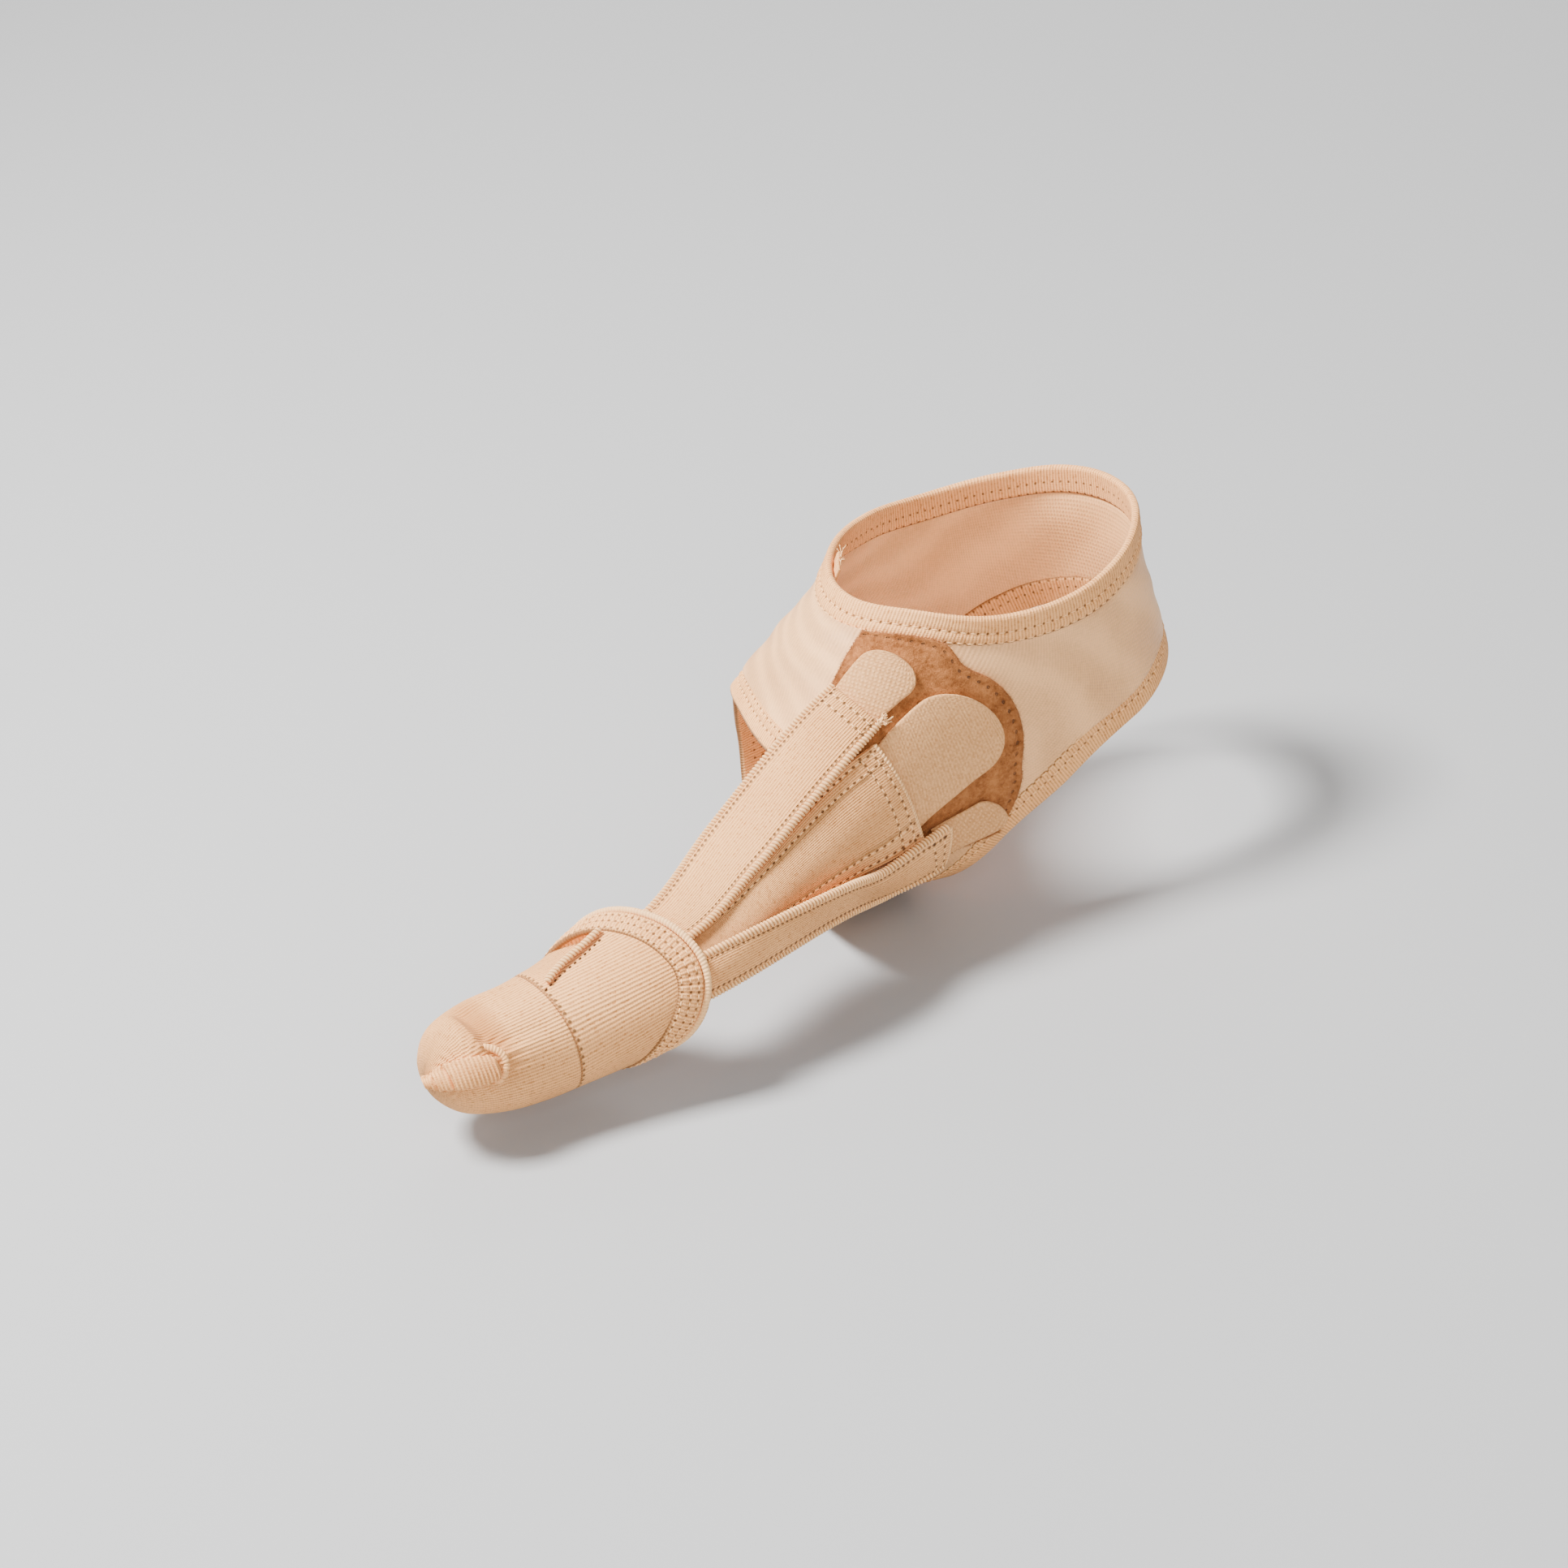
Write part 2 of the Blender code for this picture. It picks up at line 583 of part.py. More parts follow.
def make_cuff_side_edge():
    """Overlocked edge that lies on the cuff panel."""
    table = np.array(SIDE_EDGE)
    place = np.linspace(0, len(table) - 1, 8)
    station = np.interp(place, np.arange(len(table)), table[:, 0])
    angle = np.interp(place, np.arange(len(table)), table[:, 1])
    line = lifted("toe", station, angle, SIDE_EDGE_RADIUS + 2 * GAP)
    rolled_edge("cuff_side_edge", line, SIDE_EDGE_RADIUS, STITCH)


def make_tip_seam():
    """Gathered strip sewn over the tip of the cap."""
    table = np.array(TIP_SEAM)
    place = np.linspace(0, len(table) - 1, 9)
    station, middle, half = (np.interp(place, np.arange(len(table)), table[:, column]) for column in range(3))
    angle = middle[:, None] + half[:, None] * np.linspace(-1, 1, 5)
    cloth("tip_seam", lifted("toe", station[:, None], angle, GAP), SEAM_WALL, STITCH)


for old in list(bpy.data.objects):
    bpy.data.objects.remove(old)

MODEL = bpy.data.collections.new("bunion_corrector")
CUTTERS = bpy.data.collections.new("cutters")
for group in (MODEL, CUTTERS):
    bpy.context.scene.collection.children.link(group)

make_wrap()
make_bindings()
make_binding_end()
make_felt_pad()
make_tabs()
make_straps()
make_toe_cap()
make_cuff()
make_cuff_side_edge()
make_tip_seam()
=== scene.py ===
# %% [markdown]
# # A soft bunion corrector
# This brace is a large knit wrap and a small knit pocket, and three elastic straps pull the pocket towards
# the wrap. The straps end in hook tabs that stick to a felt pad.
# Everything is cloth, so the lesson is about thin sheets that follow a body: how to lay them on a form,
# give them a thickness and a round edge, and dress them with ribs, seams and stitches.
#
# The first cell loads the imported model. Each cloth piece of it is a plain solid, and this script replaces
# every one of them with a finer sheet in the same place.

# %% Load the frame
import math

import bpy
import numpy as np
from mathutils import Matrix


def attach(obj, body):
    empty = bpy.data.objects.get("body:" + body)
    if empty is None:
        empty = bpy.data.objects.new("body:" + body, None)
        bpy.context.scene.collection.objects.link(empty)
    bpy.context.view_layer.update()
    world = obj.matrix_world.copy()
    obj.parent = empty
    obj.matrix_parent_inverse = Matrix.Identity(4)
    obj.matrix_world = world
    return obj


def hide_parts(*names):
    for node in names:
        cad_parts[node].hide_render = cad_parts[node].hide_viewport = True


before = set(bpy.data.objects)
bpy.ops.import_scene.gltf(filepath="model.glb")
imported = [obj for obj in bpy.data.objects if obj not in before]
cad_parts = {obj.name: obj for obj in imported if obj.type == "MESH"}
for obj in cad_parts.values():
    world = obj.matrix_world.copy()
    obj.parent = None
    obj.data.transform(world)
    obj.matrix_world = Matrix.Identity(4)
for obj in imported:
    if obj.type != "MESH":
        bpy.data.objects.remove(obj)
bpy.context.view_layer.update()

for thing in bpy.context.selected_objects:
    thing.select_set(False)
MM = 0.001
print("nodes:", len(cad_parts))

# %% [markdown]
# ## Sizes
# Cloth has few sizes of its own: a wall for each kind, a width for each band, and a radius for each rolled
# edge. They are named once here, in metres, and every piece below reads them. The size that the brace is
# cut to gives the rest.

# %% Sizes
FOOT_LENGTH = 240 * MM
ANKLE_HEIGHT = 90 * MM
ANKLE_WIDTH = 68 * MM
TIP_REACH = 187.5 * MM
TIP_SIDE = 31 * MM
TIP_LIFT = 20.5 * MM
TOE_LENGTH = 56.5 * MM
TOE_WIDTH = 31 * MM
TOE_HEIGHT = 29 * MM

GAP = 0.3 * MM
WRAP_WALL = 1.2 * MM
BINDING_WALL = 2.2 * MM
FELT_WALL = 1.8 * MM
TAB_WALL = 1.2 * MM
STRAP_WALL = 1.5 * MM
CAP_WALL = 1.4 * MM
HEM_WALL = 2.2 * MM
SEAM_WALL = 1.2 * MM
MOUTH_SLACK = 0.7 * MM

TOP_BINDING_WIDTH = 8.2 * MM
FRONT_HEM_WIDTH = 7.5 * MM
HEEL_BINDING_WIDTH = 8.5 * MM
CUFF_HEM_WIDTH = 6.5 * MM
STRAP_EDGE_RADIUS = 1.0 * MM
SIDE_EDGE_RADIUS = 0.9 * MM
PIPING_RADIUS = 1.1 * MM

HEEL_STATION = 6.15
HEEL_HALF_LENGTH = 1.95
HEEL_HALF_ANGLE = 79.0

# %% [markdown]
# ## Two forms under the cloth
# A tailor drapes cloth on a dummy. This brace needs two: one for the wrap and one for the pocket. Each is
# a row of rounded sections, and a table gives their places as shares of the form's size. A place on a form
# is a station, counted along its sections, and an angle round the section: 0 on top, 90 on the inner side
# of the form, 180 below. A mesh could be sculpted instead, but a table is easy to read and to correct.

# %% Tables of the two forms
# Columns: top x, top z, sole x, sole z, inner half width, outer half width, middle y, lean of the top,
# slant, squareness
FOOT_SECTIONS = (
    (-0.512, 0.411, -0.529, 0.000, 0.676, 0.706, 0.000, -0.235, 0.0, 2.40),
    (-0.421, 0.478, -0.442, 0.011, 0.647, 0.691, 0.000, -0.206, 0.0, 2.40),
    (-0.342, 0.556, -0.350, 0.033, 0.588, 0.647, 0.015, -0.162, 0.0, 2.40),
    (-0.279, 0.678, -0.250, 0.056, 0.529, 0.603, 0.029, -0.118, 0.0, 2.40),
    (-0.238, 0.800, -0.150, 0.056, 0.500, 0.559, 0.029, -0.074, 0.0, 2.40),
    (-0.208, 0.911, -0.033, 0.022, 0.500, 0.515, 0.015, -0.044, 0.0, 2.35),
    (-0.179, 0.989, 0.117, 0.022, 0.500, 0.500, 0.000, -0.015, 0.0, 2.30),
    (-0.158, 1.067, 0.208, 0.222, 0.500, 0.500, 0.000, 0.000, 0.0, 2.20),
    (-0.146, 1.144, 0.200, 0.533, 0.500, 0.500, 0.000, 0.000, 0.0, 2.10),
    (-0.133, 1.233, 0.179, 0.844, 0.485, 0.485, 0.000, 0.000, 0.0, 2.10),
    (-0.121, 1.344, 0.175, 1.111, 0.456, 0.456, 0.000, 0.000, 0.0, 2.10),
)
TOE_SECTIONS = (
    (0.000, 0.020, 0.000, -0.020, 0.019, 0.019, 0.000, 0.0, 0.00, 2.0),
    (0.034, 0.207, 0.034, -0.207, 0.242, 0.242, 0.000, 0.0, 0.00, 2.0),
    (0.124, 0.379, 0.124, -0.366, 0.413, 0.413, 0.000, 0.0, 0.00, 2.1),
    (0.292, 0.476, 0.292, -0.462, 0.484, 0.484, -0.016, 0.0, 0.00, 2.2),
    (0.508, 0.521, 0.465, -0.486, 0.497, 0.497, -0.048, 0.0, 0.05, 2.2),
    (0.736, 0.617, 0.627, -0.445, 0.542, 0.542, -0.081, 0.0, 0.18, 2.2),
    (0.945, 0.734, 0.770, -0.390, 0.606, 0.606, -0.113, 0.0, 0.32, 2.2),
    (1.135, 0.845, 0.900, -0.340, 0.661, 0.661, -0.129, 0.0, 0.45, 2.2),
    (1.320, 0.955, 1.030, -0.300, 0.715, 0.715, -0.145, 0.0, 0.55, 2.2),
)

# %% [markdown]
# ## Where the edges of the cloth run
# Every edge of the brace is given as places on a form, so that it stays in place when a size changes. An
# edge that runs round a form is a ring of values, one every 30 degrees. A patch or a strap is a short
# table with a row for each section of it. The edges could be drawn as curves in space instead, but then
# each would have to be pulled on to the form by hand.

# %% Tables of the cloth's outlines
# Every 30 degrees: height of the wrap's top edge as a share of ANKLE_HEIGHT, and stations of the
# wrap's front edge and of the cuff's rim
TOP_LINE = (1.017, 1.003, 0.962, 0.964, 1.000, 1.039, 1.050, 1.039, 1.011, 1.000, 1.028, 1.044)
FRONT_LINE = (2.70, 2.68, 2.70, 2.72, 2.75, 2.85, 2.95, 3.10, 3.30, 3.50, 3.52, 3.08)
CUFF_RIM = (6.80, 6.82, 6.88, 6.90, 6.84, 6.78, 6.75, 6.75, 6.75, 6.75, 6.75, 6.78)

# Seam between the toe cap and the cuff: its middle station, and how far it swings below and above
CAP_SEAM = 4.45
CAP_SEAM_SWING = 0.20

# Felt pad: angle, front station, rear station
PAD_OUTLINE = (
    (19.0, 3.75, 5.70),
    (28.0, 3.75, 6.05),
    (38.0, 3.75, 6.40),
    (47.0, 3.75, 6.60),
    (55.0, 3.75, 6.42),
    (64.0, 3.75, 6.49),
    (72.0, 3.75, 6.40),
    (80.0, 3.75, 6.14),
    (88.0, 3.75, 5.75),
    (97.0, 3.75, 5.38),
    (108.0, 3.80, 5.00),
)

# Hook tabs: hidden end, start of the round tip and tip as stations, then the angle of the middle and the
# half width in degrees at the hidden end and at the tip
TABS = {
    "upper_tab": (3.95, 5.20, 5.72, 33.0, 11.5, 38.0, 11.0),
    "middle_tab": (3.85, 5.30, 6.03, 70.5, 19.5, 67.3, 14.3),
    "lower_tab": (4.20, 4.98, 5.20, 98.5, 6.8, 97.8, 6.6),
}

# Straps, one row a section from the cuff to the free end. For the upper and then the lower edge: station,
# angle, and strap layers below it
STRAPS = {
    "upper_strap": (
        ("toe", 6.30, -4.0, -1.0, 6.30, 28.0, -1.0),
        ("toe", 6.95, -4.0, -1.0, 6.95, 28.0, -1.0),
        ("foot", 1.40, 7.5, 0.2, 1.40, 32.0, 0.2),
        ("foot", 2.88, 13.0, 0.8, 2.90, 38.0, 0.9),
        ("foot", 3.65, 19.5, 0.7, 3.61, 42.0, 1.1),
        ("foot", 4.42, 25.0, 0.0, 4.43, 44.5, 0.0),
    ),
    "middle_strap": (
        ("toe", 6.30, 25.0, -2.3, 6.30, 62.0, -2.3),
        ("toe", 6.95, 25.0, -2.3, 6.95, 62.0, -2.3),
        ("foot", 2.97, 39.0, -0.9, 2.90, 86.0, -1.0),
        ("foot", 3.50, 44.0, -0.1, 3.43, 90.0, -0.1),
        ("foot", 4.05, 49.0, 0.1, 3.95, 91.0, 0.1),
    ),
    "lower_strap": (
        ("toe", 6.30, 58.0, -1.0, 6.30, 89.0, -1.0),
        ("toe", 6.95, 58.0, -1.0, 6.95, 89.0, -1.0),
        ("foot", 2.33, 74.0, 0.9, 2.57, 91.0, 0.3),
        ("foot", 3.04, 88.0, 1.0, 3.28, 102.0, 0.3),
        ("foot", 3.94, 91.0, 1.3, 3.95, 105.0, 0.6),
        ("foot", 4.42, 92.0, 0.5, 4.19, 105.0, 0.1),
    ),
}

# Overlocked edge of the cuff panel: station, angle
SIDE_EDGE = ((6.05, -9.0), (5.50, -5.0), (4.80, 1.0), (4.40, 9.0))

print("sections of the two forms:", len(FOOT_SECTIONS), len(TOE_SECTIONS))

# %% [markdown]
# ## From a place to a point
# A table holds few rows, and cloth needs thousands of points. These helpers read a table smoothly between
# its rows, turn a place into a point in space, and find the direction that points away from it. A
# sheet lies at a height above its form along that direction. Walking a distance over a form keeps a band's
# width true, where a plain change of station would make the band broader on the long side of the form.

# %% Values between the rows of a table
def scaled(sections, along, up, across, start):
    """Turn a table of shares into metres, moved to its starting point."""
    sizes = np.array((along, up, along, up, across, across, across, across, 1.0, 1.0))
    x, y, z = start
    moves = np.array((x, z, x, z, 0.0, 0.0, y, 0.0, 0.0, 0.0))
    return np.array(sections) * sizes + moves


FORMS = {
    "foot": scaled(FOOT_SECTIONS, FOOT_LENGTH, ANKLE_HEIGHT, ANKLE_WIDTH, (0.0, 0.0, 0.0)),
    "toe": scaled(TOE_SECTIONS, TOE_LENGTH, TOE_HEIGHT, TOE_WIDTH, (-TIP_REACH, -TIP_SIDE, TIP_LIFT)),
}


def smooth(before, start, end, after, part):
    """Catmull-Rom curve between start and end."""
    slope = after - 3 * end + 3 * start - before
    bend = 2 * before - 5 * start + 4 * end - after
    return 0.5 * (2 * start + (end - before) * part + bend * part**2 + slope * part**3)


def section_at(form, station):
    """Section values at any station; just past the last section its curve runs on."""
    table = FORMS[form]
    last = len(table) - 1
    station = np.maximum(station, 0)
    row = np.clip(np.floor(station).astype(int), 0, last - 1)
    near = [table[np.clip(row + step, 0, last)] for step in (-1, 0, 1, 2)]
    return smooth(*near, (station - row)[..., None])


def around(values, angle):
    """Smooth value from a table with one entry every so many degrees round a section."""
    table = np.array(values)
    place = np.asarray(angle, float) / 360 * len(table)
    row = np.floor(place).astype(int)
    near = [table[(row + step) % len(table)] for step in (-1, 0, 1, 2)]
    return smooth(*near, place - row)


def read_table(table, place):
    """Smooth values of a table's columns at any row number."""
    table = np.array(table)
    last = len(table) - 1
    row = np.clip(np.floor(place).astype(int), 0, last - 1)
    near = [table[np.clip(row + step, 0, last)] for step in (-1, 0, 1, 2)]
    return np.moveaxis(smooth(*near, (place - row)[..., None]), -1, 0)


# %% Points and directions on a form
def surface(form, station, angle):
    """Point on a form."""
    station, angle = np.broadcast_arrays(np.asarray(station, float), np.asarray(angle, float))
    values = section_at(form, station)
    top_x, top_z, sole_x, sole_z, inner, outer, middle, lean, slant, square = np.moveaxis(values, -1, 0)
    turn = np.radians(angle)
    up, across = np.cos(turn), np.sin(turn)
    up = np.sign(up) * np.abs(up) ** (2 / square)
    across = np.sign(across) * np.abs(across) ** (2 / square) * np.where(across > 0, inner, outer)
    x = (top_x + sole_x) / 2 + up * (top_x - sole_x) / 2 + across * slant
    y = middle + up * lean - across
    z = (top_z + sole_z) / 2 + up * (top_z - sole_z) / 2
    return np.stack((x, y, z), -1)


def slopes(form, station, angle):
    """Change of the surface point by station and by degree."""
    small = 1e-3
    along = (surface(form, station + small, angle) - surface(form, station - small, angle)) / (2 * small)
    around_it = surface(form, station, angle + 0.5) - surface(form, station, angle - 0.5)
    return along, around_it


def unit(vectors):
    return vectors / np.linalg.norm(vectors, axis=-1, keepdims=True)


def outward(form, station, angle):
    """Normal of a form, pointing away from it."""
    along, around_it = slopes(form, station, angle)
    return unit(np.cross(around_it, along))


def lifted(form, station, angle, lift):
    """Point at a height above a form."""
    station, angle = np.broadcast_arrays(np.asarray(station, float), np.asarray(angle, float))
    lift = np.broadcast_to(lift, station.shape)
    return surface(form, station, angle) + outward(form, station, angle) * lift[..., None]


print("tip of the toe:", (surface("toe", 0.0, 0.0) / MM).round(1), "mm")


# %% Walks over a form
def shift(form, station, angle, distance):
    """Station reached by walking a distance along the form at the same angle."""
    steps = 8
    for _ in range(steps):
        along, _unused = slopes(form, station, angle)
        station = station + distance / steps / np.linalg.norm(along, axis=-1)
    return station


def beside(form, station, angle, distance):
    """Closed line on a form, a distance to the right of another seen from outside."""
    steps = 5
    for _ in range(steps):
        points = surface(form, station, angle)
        tangent = np.roll(points, -1, 0) - np.roll(points, 1, 0)
        side = unit(np.cross(tangent, outward(form, station, angle)))
        along, around_it = slopes(form, station, angle)
        stretch_a = (along * along).sum(-1)
        stretch_b = (around_it * around_it).sum(-1)
        shear = (along * around_it).sum(-1)
        area = stretch_a * stretch_b - shear**2
        side_a = (side * along).sum(-1)
        side_b = (side * around_it).sum(-1)
        station = station + (side_a * stretch_b - side_b * shear) / area * distance / steps
        angle = angle + (side_b * stretch_a - side_a * shear) / area * distance / steps
    return station, angle


print("40 mm up the instep from station 3 is station", round(float(shift("foot", 3.0, 0.0, 40 * MM)), 2))


# %% Lines on the wrap
def heel_line(distance, count):
    """Closed line round the heel opening, a distance outside its free edge."""
    turn = np.linspace(0, 2 * math.pi, count, endpoint=False)
    station = HEEL_STATION + HEEL_HALF_LENGTH * np.cos(turn)
    angle = 180 - HEEL_HALF_ANGLE * np.sin(turn)
    return beside("foot", station, angle, distance)


def top_station(angle):
    """Station of the wrap's top edge."""
    heights = around(TOP_LINE, angle) * ANKLE_HEIGHT
    stations = np.linspace(5.5, len(FOOT_SECTIONS) - 1, 200)
    found = []
    for one_angle, height in zip(np.ravel(angle), np.ravel(heights)):
        found.append(np.interp(height, surface("foot", stations, one_angle)[:, 2], stations))
    return np.reshape(found, np.shape(angle))


print("ankle at its top:", (surface("foot", 6.0, 0.0) / MM).round(1), "mm")

# %% [markdown]
# ## Cloth as a closed sheet
# A sheet is two grids of points, one for its outer face and one for its inner face, that meet along a
# round rim. Solidify on a plane would give the same wall but a square rim, and cloth edges are folded over
# and round, so here both faces are worked out and the wall tapers to nothing within half its thickness of
# the rim. The rows and columns are measured in metres, and those measures become the UV map, so that a rib
# or a stitch can be given its real size in a material later.

# %% Rows, columns and quads of a grid
def spread(length, step, radius):
    """Shares from 0 to 1 along a length, with finer steps over a round rim at both ends."""
    rim = np.array((0.0, 0.06, 0.25, 0.6)) * radius / length
    inside = np.linspace(radius / length, 1 - radius / length, max(2, int(round(length / step))))
    return np.concatenate((rim, inside, 1 - rim[::-1]))


def rim_height(rows, columns, radius, loop):
    """Share of the full wall at each place: 1 inside, and a quarter circle down to 0 at the rim."""
    near = np.minimum(rows - rows[0], rows[-1] - rows)[:, None]
    if not loop:
        near = np.minimum(near, np.minimum(columns - columns[0], columns[-1] - columns)[None, :])
    part = np.clip(near / radius, 0, 1)
    return np.sqrt(np.clip(1 - (1 - part)**2, 0, 1)) * np.ones((1, len(columns) - loop))


def grid_quads(index, loop):
    """Corners of the quads of a grid, wound to face away from the form."""
    columns = index.shape[1]
    left = np.arange(columns if loop else columns - 1)
    right = (left + 1) % columns
    corners = (index[:-1, left], index[:-1, right], index[1:, right], index[1:, left])
    return np.stack(corners, -1).reshape(-1, 4)


def corner_measures(rows, columns):
    """UV of the quads of a grid: columns along u, rows along v, both in metres."""
    u, v = np.meshgrid(columns, rows)
    both = np.stack((u, v), -1)
    return np.stack((both[:-1, :-1], both[:-1, 1:], both[1:, 1:], both[1:, :-1]), 2).reshape(-1, 4, 2)


print("rows across a 10 mm band:", len(spread(10 * MM, 0.5 * MM, BINDING_WALL / 2)))


# %% A mesh that keeps its measures
def new_piece(name, points, faces, measures):
    """A mesh object with a UV map called cloth."""
    mesh = bpy.data.meshes.new(name)
    mesh.from_pydata(np.asarray(points).tolist(), [], [list(face) for face in faces])
    layer = mesh.uv_layers.new(name="cloth")
    layer.data.foreach_set("uv", np.concatenate([np.ravel(corner) for corner in measures]))
    mesh.shade_smooth()
    piece = bpy.data.objects.new(name, mesh)
    bpy.context.scene.collection.objects.link(piece)
    return piece


# %% A closed sheet from two grids
SHEETS = {}


def sheet(name, base, normal, rows, columns, wall, relief=0.0, loop=False, tip=False, lining=0.0):
    """Closed sheet on a grid of base points. rows and columns are its measures in metres. relief is added
    to its outer face, and lining to its inner face."""
    share = rim_height(rows, columns, wall / 2, loop)
    if tip:
        share = np.where(rows[:, None] < rows[len(rows) // 2], 1.0, share)
    outer_height = wall / 2 * (1 + share) + relief * share
    inner_height = wall / 2 * (1 - share) + lining * share
    outer = base + normal * outer_height[..., None]
    inner = base + normal * inner_height[..., None]
    border = np.zeros(base.shape[:2], bool)
    border[-1] = True
    if not tip:
        border[0] = True
    if not loop:
        border[:, [0, -1]] = True
    outer_index = np.arange(border.size).reshape(border.shape)
    inner_index = outer_index.copy()
    inner_index[~border] = border.size + np.arange((~border).sum())
    points = np.vstack((outer.reshape(-1, 3), inner[~border]))
    measures = corner_measures(rows, columns)
    faces = np.vstack((grid_quads(outer_index, loop), grid_quads(inner_index, loop)[:, ::-1])).tolist()
    corners = [measures, measures[:, ::-1]]
    if tip:
        middle = np.array((columns.mean(), rows[0]))
        count = len(points)
        points = np.vstack((points, outer[0].mean(0), inner[0].mean(0)))
        for column in range(base.shape[1]):
            right = (column + 1) % base.shape[1]
            faces.append([count, outer_index[0, right], outer_index[0, column]])
            faces.append([count + 1, inner_index[0, column], inner_index[0, right]])
            here = np.array((columns[column], rows[0]))
            there = np.array((columns[column + 1], rows[0]))
            corners.append(np.stack((middle, there, here, middle, here, there)))
    piece = new_piece(name, points, faces, corners)
    SHEETS[name] = {"outer": outer, "normal": normal, "rows": rows, "columns": columns, "loop": loop,
                    "middle": base + normal * wall / 2}
    return piece


# %% Area and length
def cloth_area(name):
    """Area of a sheet's middle face."""
    grid = SHEETS[name]["middle"]
    if SHEETS[name]["loop"]:
        grid = np.concatenate((grid, grid[:, :1]), 1)
    one = np.cross(grid[:-1, 1:] - grid[:-1, :-1], grid[1:, :-1] - grid[:-1, :-1])
    other = np.cross(grid[1:, 1:] - grid[1:, :-1], grid[1:, 1:] - grid[:-1, 1:])
    return 0.5 * (np.linalg.norm(one, axis=-1).sum() + np.linalg.norm(other, axis=-1).sum())


def reach_along(line):
    """Distance from the start of a line of points to each of them."""
    return np.concatenate(((0.0,), np.cumsum(np.linalg.norm(np.diff(line, axis=0), axis=-1))))


# %% [markdown]
# ## Rolled edges and threads
# An overlocked edge is a cord of thread loops wound round the raw edge of the cloth. Seen close, it is a
# thin tube with slanted ridges, so it is made as a tube whose radius rises and falls along a spiral. A
# stitch is a short capsule of thread that dips into the cloth at both ends. One stitch is worked out once,
# and a row of them is one mesh.

# %% A tube along a line
def resample(line, step, loop=False):
    """Points at even steps along a line, their places along it, and its length."""
    reach = reach_along(line)
    place = np.linspace(0, reach[-1], max(8, int(round(reach[-1] / step))), endpoint=not loop)
    return np.stack([np.interp(place, reach, line[:, axis]) for axis in range(3)], -1), place, reach[-1]


def tube(name, line, facing, radius, step=0.2 * MM, sides=12, ridge=0.0, pitch=0.8 * MM, loop=False,
         squash=1.0, taper=0.0):
    """Tube along a line, flattened across its facing direction, with spiral ridges of a given pitch. Its UV
    counts turns round the tube along u and ridges along v."""
    if loop:
        line = np.concatenate((line, line[:1]))
        facing = np.concatenate((facing, facing[:1]))
    points, place, length = resample(line, step, loop)
    facing = np.stack([np.interp(place, reach_along(line), facing[:, axis]) for axis in range(3)], -1)
    if loop:
        along = unit(np.roll(points, -1, 0) - np.roll(points, 1, 0))
        pitch = length / round(length / pitch)
    else:
        along = unit(np.gradient(points, axis=0))
    side = unit(np.cross(along, facing))
    facing = unit(np.cross(side, along))
    turn = np.linspace(0, 2 * math.pi, sides, endpoint=False)
    wave = np.cos(2 * math.pi * place[:, None] / pitch + turn[None, :])
    size = radius * (1 - ridge + ridge * wave)
    if taper:
        end = np.minimum(place, place[-1] - place)[:, None] / taper
        size = size * np.sqrt(np.clip(1 - (1 - np.clip(end, 0, 1))**2, 0.02, 1))
    ring = points[:, None] + size[..., None] * (np.cos(turn)[None, :, None] * side[:, None]
                                                + squash * np.sin(turn)[None, :, None] * facing[:, None])
    index = np.arange(len(points) * sides).reshape(len(points), sides)
    if loop:
        index = np.concatenate((index, index[:1]))
    measure = place if not loop else np.append(place, length)
    around_it = np.linspace(0, 1, sides + 1)
    faces = grid_quads(index, True)[:, ::-1].tolist()
    corners = [corner_measures(measure / pitch, around_it)[:, ::-1]]
    if not loop:
        faces.append(index[0].tolist())
        faces.append(index[-1][::-1].tolist())
        corners.append(np.zeros((2 * sides, 2)))
    return new_piece(name, ring.reshape(-1, 3), faces, corners)


# %% A line along a sheet
def line_on(name, row=None, column=None):
    """Points, outward directions and measures along a sheet's outer face, at one row or column."""
    data = SHEETS[name]
    rows, columns = data["rows"], data["columns"]
    outer, normal = data["outer"], data["normal"]
    if data["loop"]:
        outer = np.concatenate((outer, outer[:, :1]), 1)
        normal = np.concatenate((normal, normal[:, :1]), 1)
    if row is not None:
        at = np.clip(np.searchsorted(rows, row) - 1, 0, len(rows) - 2)
        part = (row - rows[at]) / (rows[at + 1] - rows[at])
        return (outer[at] * (1 - part) + outer[at + 1] * part, normal[at], columns)
    at = np.clip(np.searchsorted(columns, column) - 1, 0, len(columns) - 2)
    part = (column - columns[at]) / (columns[at + 1] - columns[at])
    return (outer[:, at] * (1 - part) + outer[:, at + 1] * part, normal[:, at], rows)


# %% Stitches
def capsule():
    """One six-sided stitch of unit length along x and unit radius: points and faces."""
    sides = 6
    along = np.array((-0.5, -0.47, -0.38, -0.2, 0.0, 0.2, 0.38, 0.47, 0.5))
    size = np.array((0.05, 0.55, 0.85, 1.0, 1.0, 1.0, 0.85, 0.55, 0.05))
    turn = np.linspace(0, 2 * math.pi, sides, endpoint=False)
    points = np.stack((np.repeat(along, sides), np.outer(size, np.cos(turn)).ravel(),
                       np.outer(size, np.sin(turn)).ravel()), -1)
    index = np.arange(len(points)).reshape(len(along), sides)
    first, last = index[0], index[-1]
    ends = [first[[3, 2, 1, 0]], first[[0, 5, 4, 3]], last[[0, 1, 2, 3]], last[[0, 3, 4, 5]]]
    return points, np.vstack((grid_quads(index, True), ends))


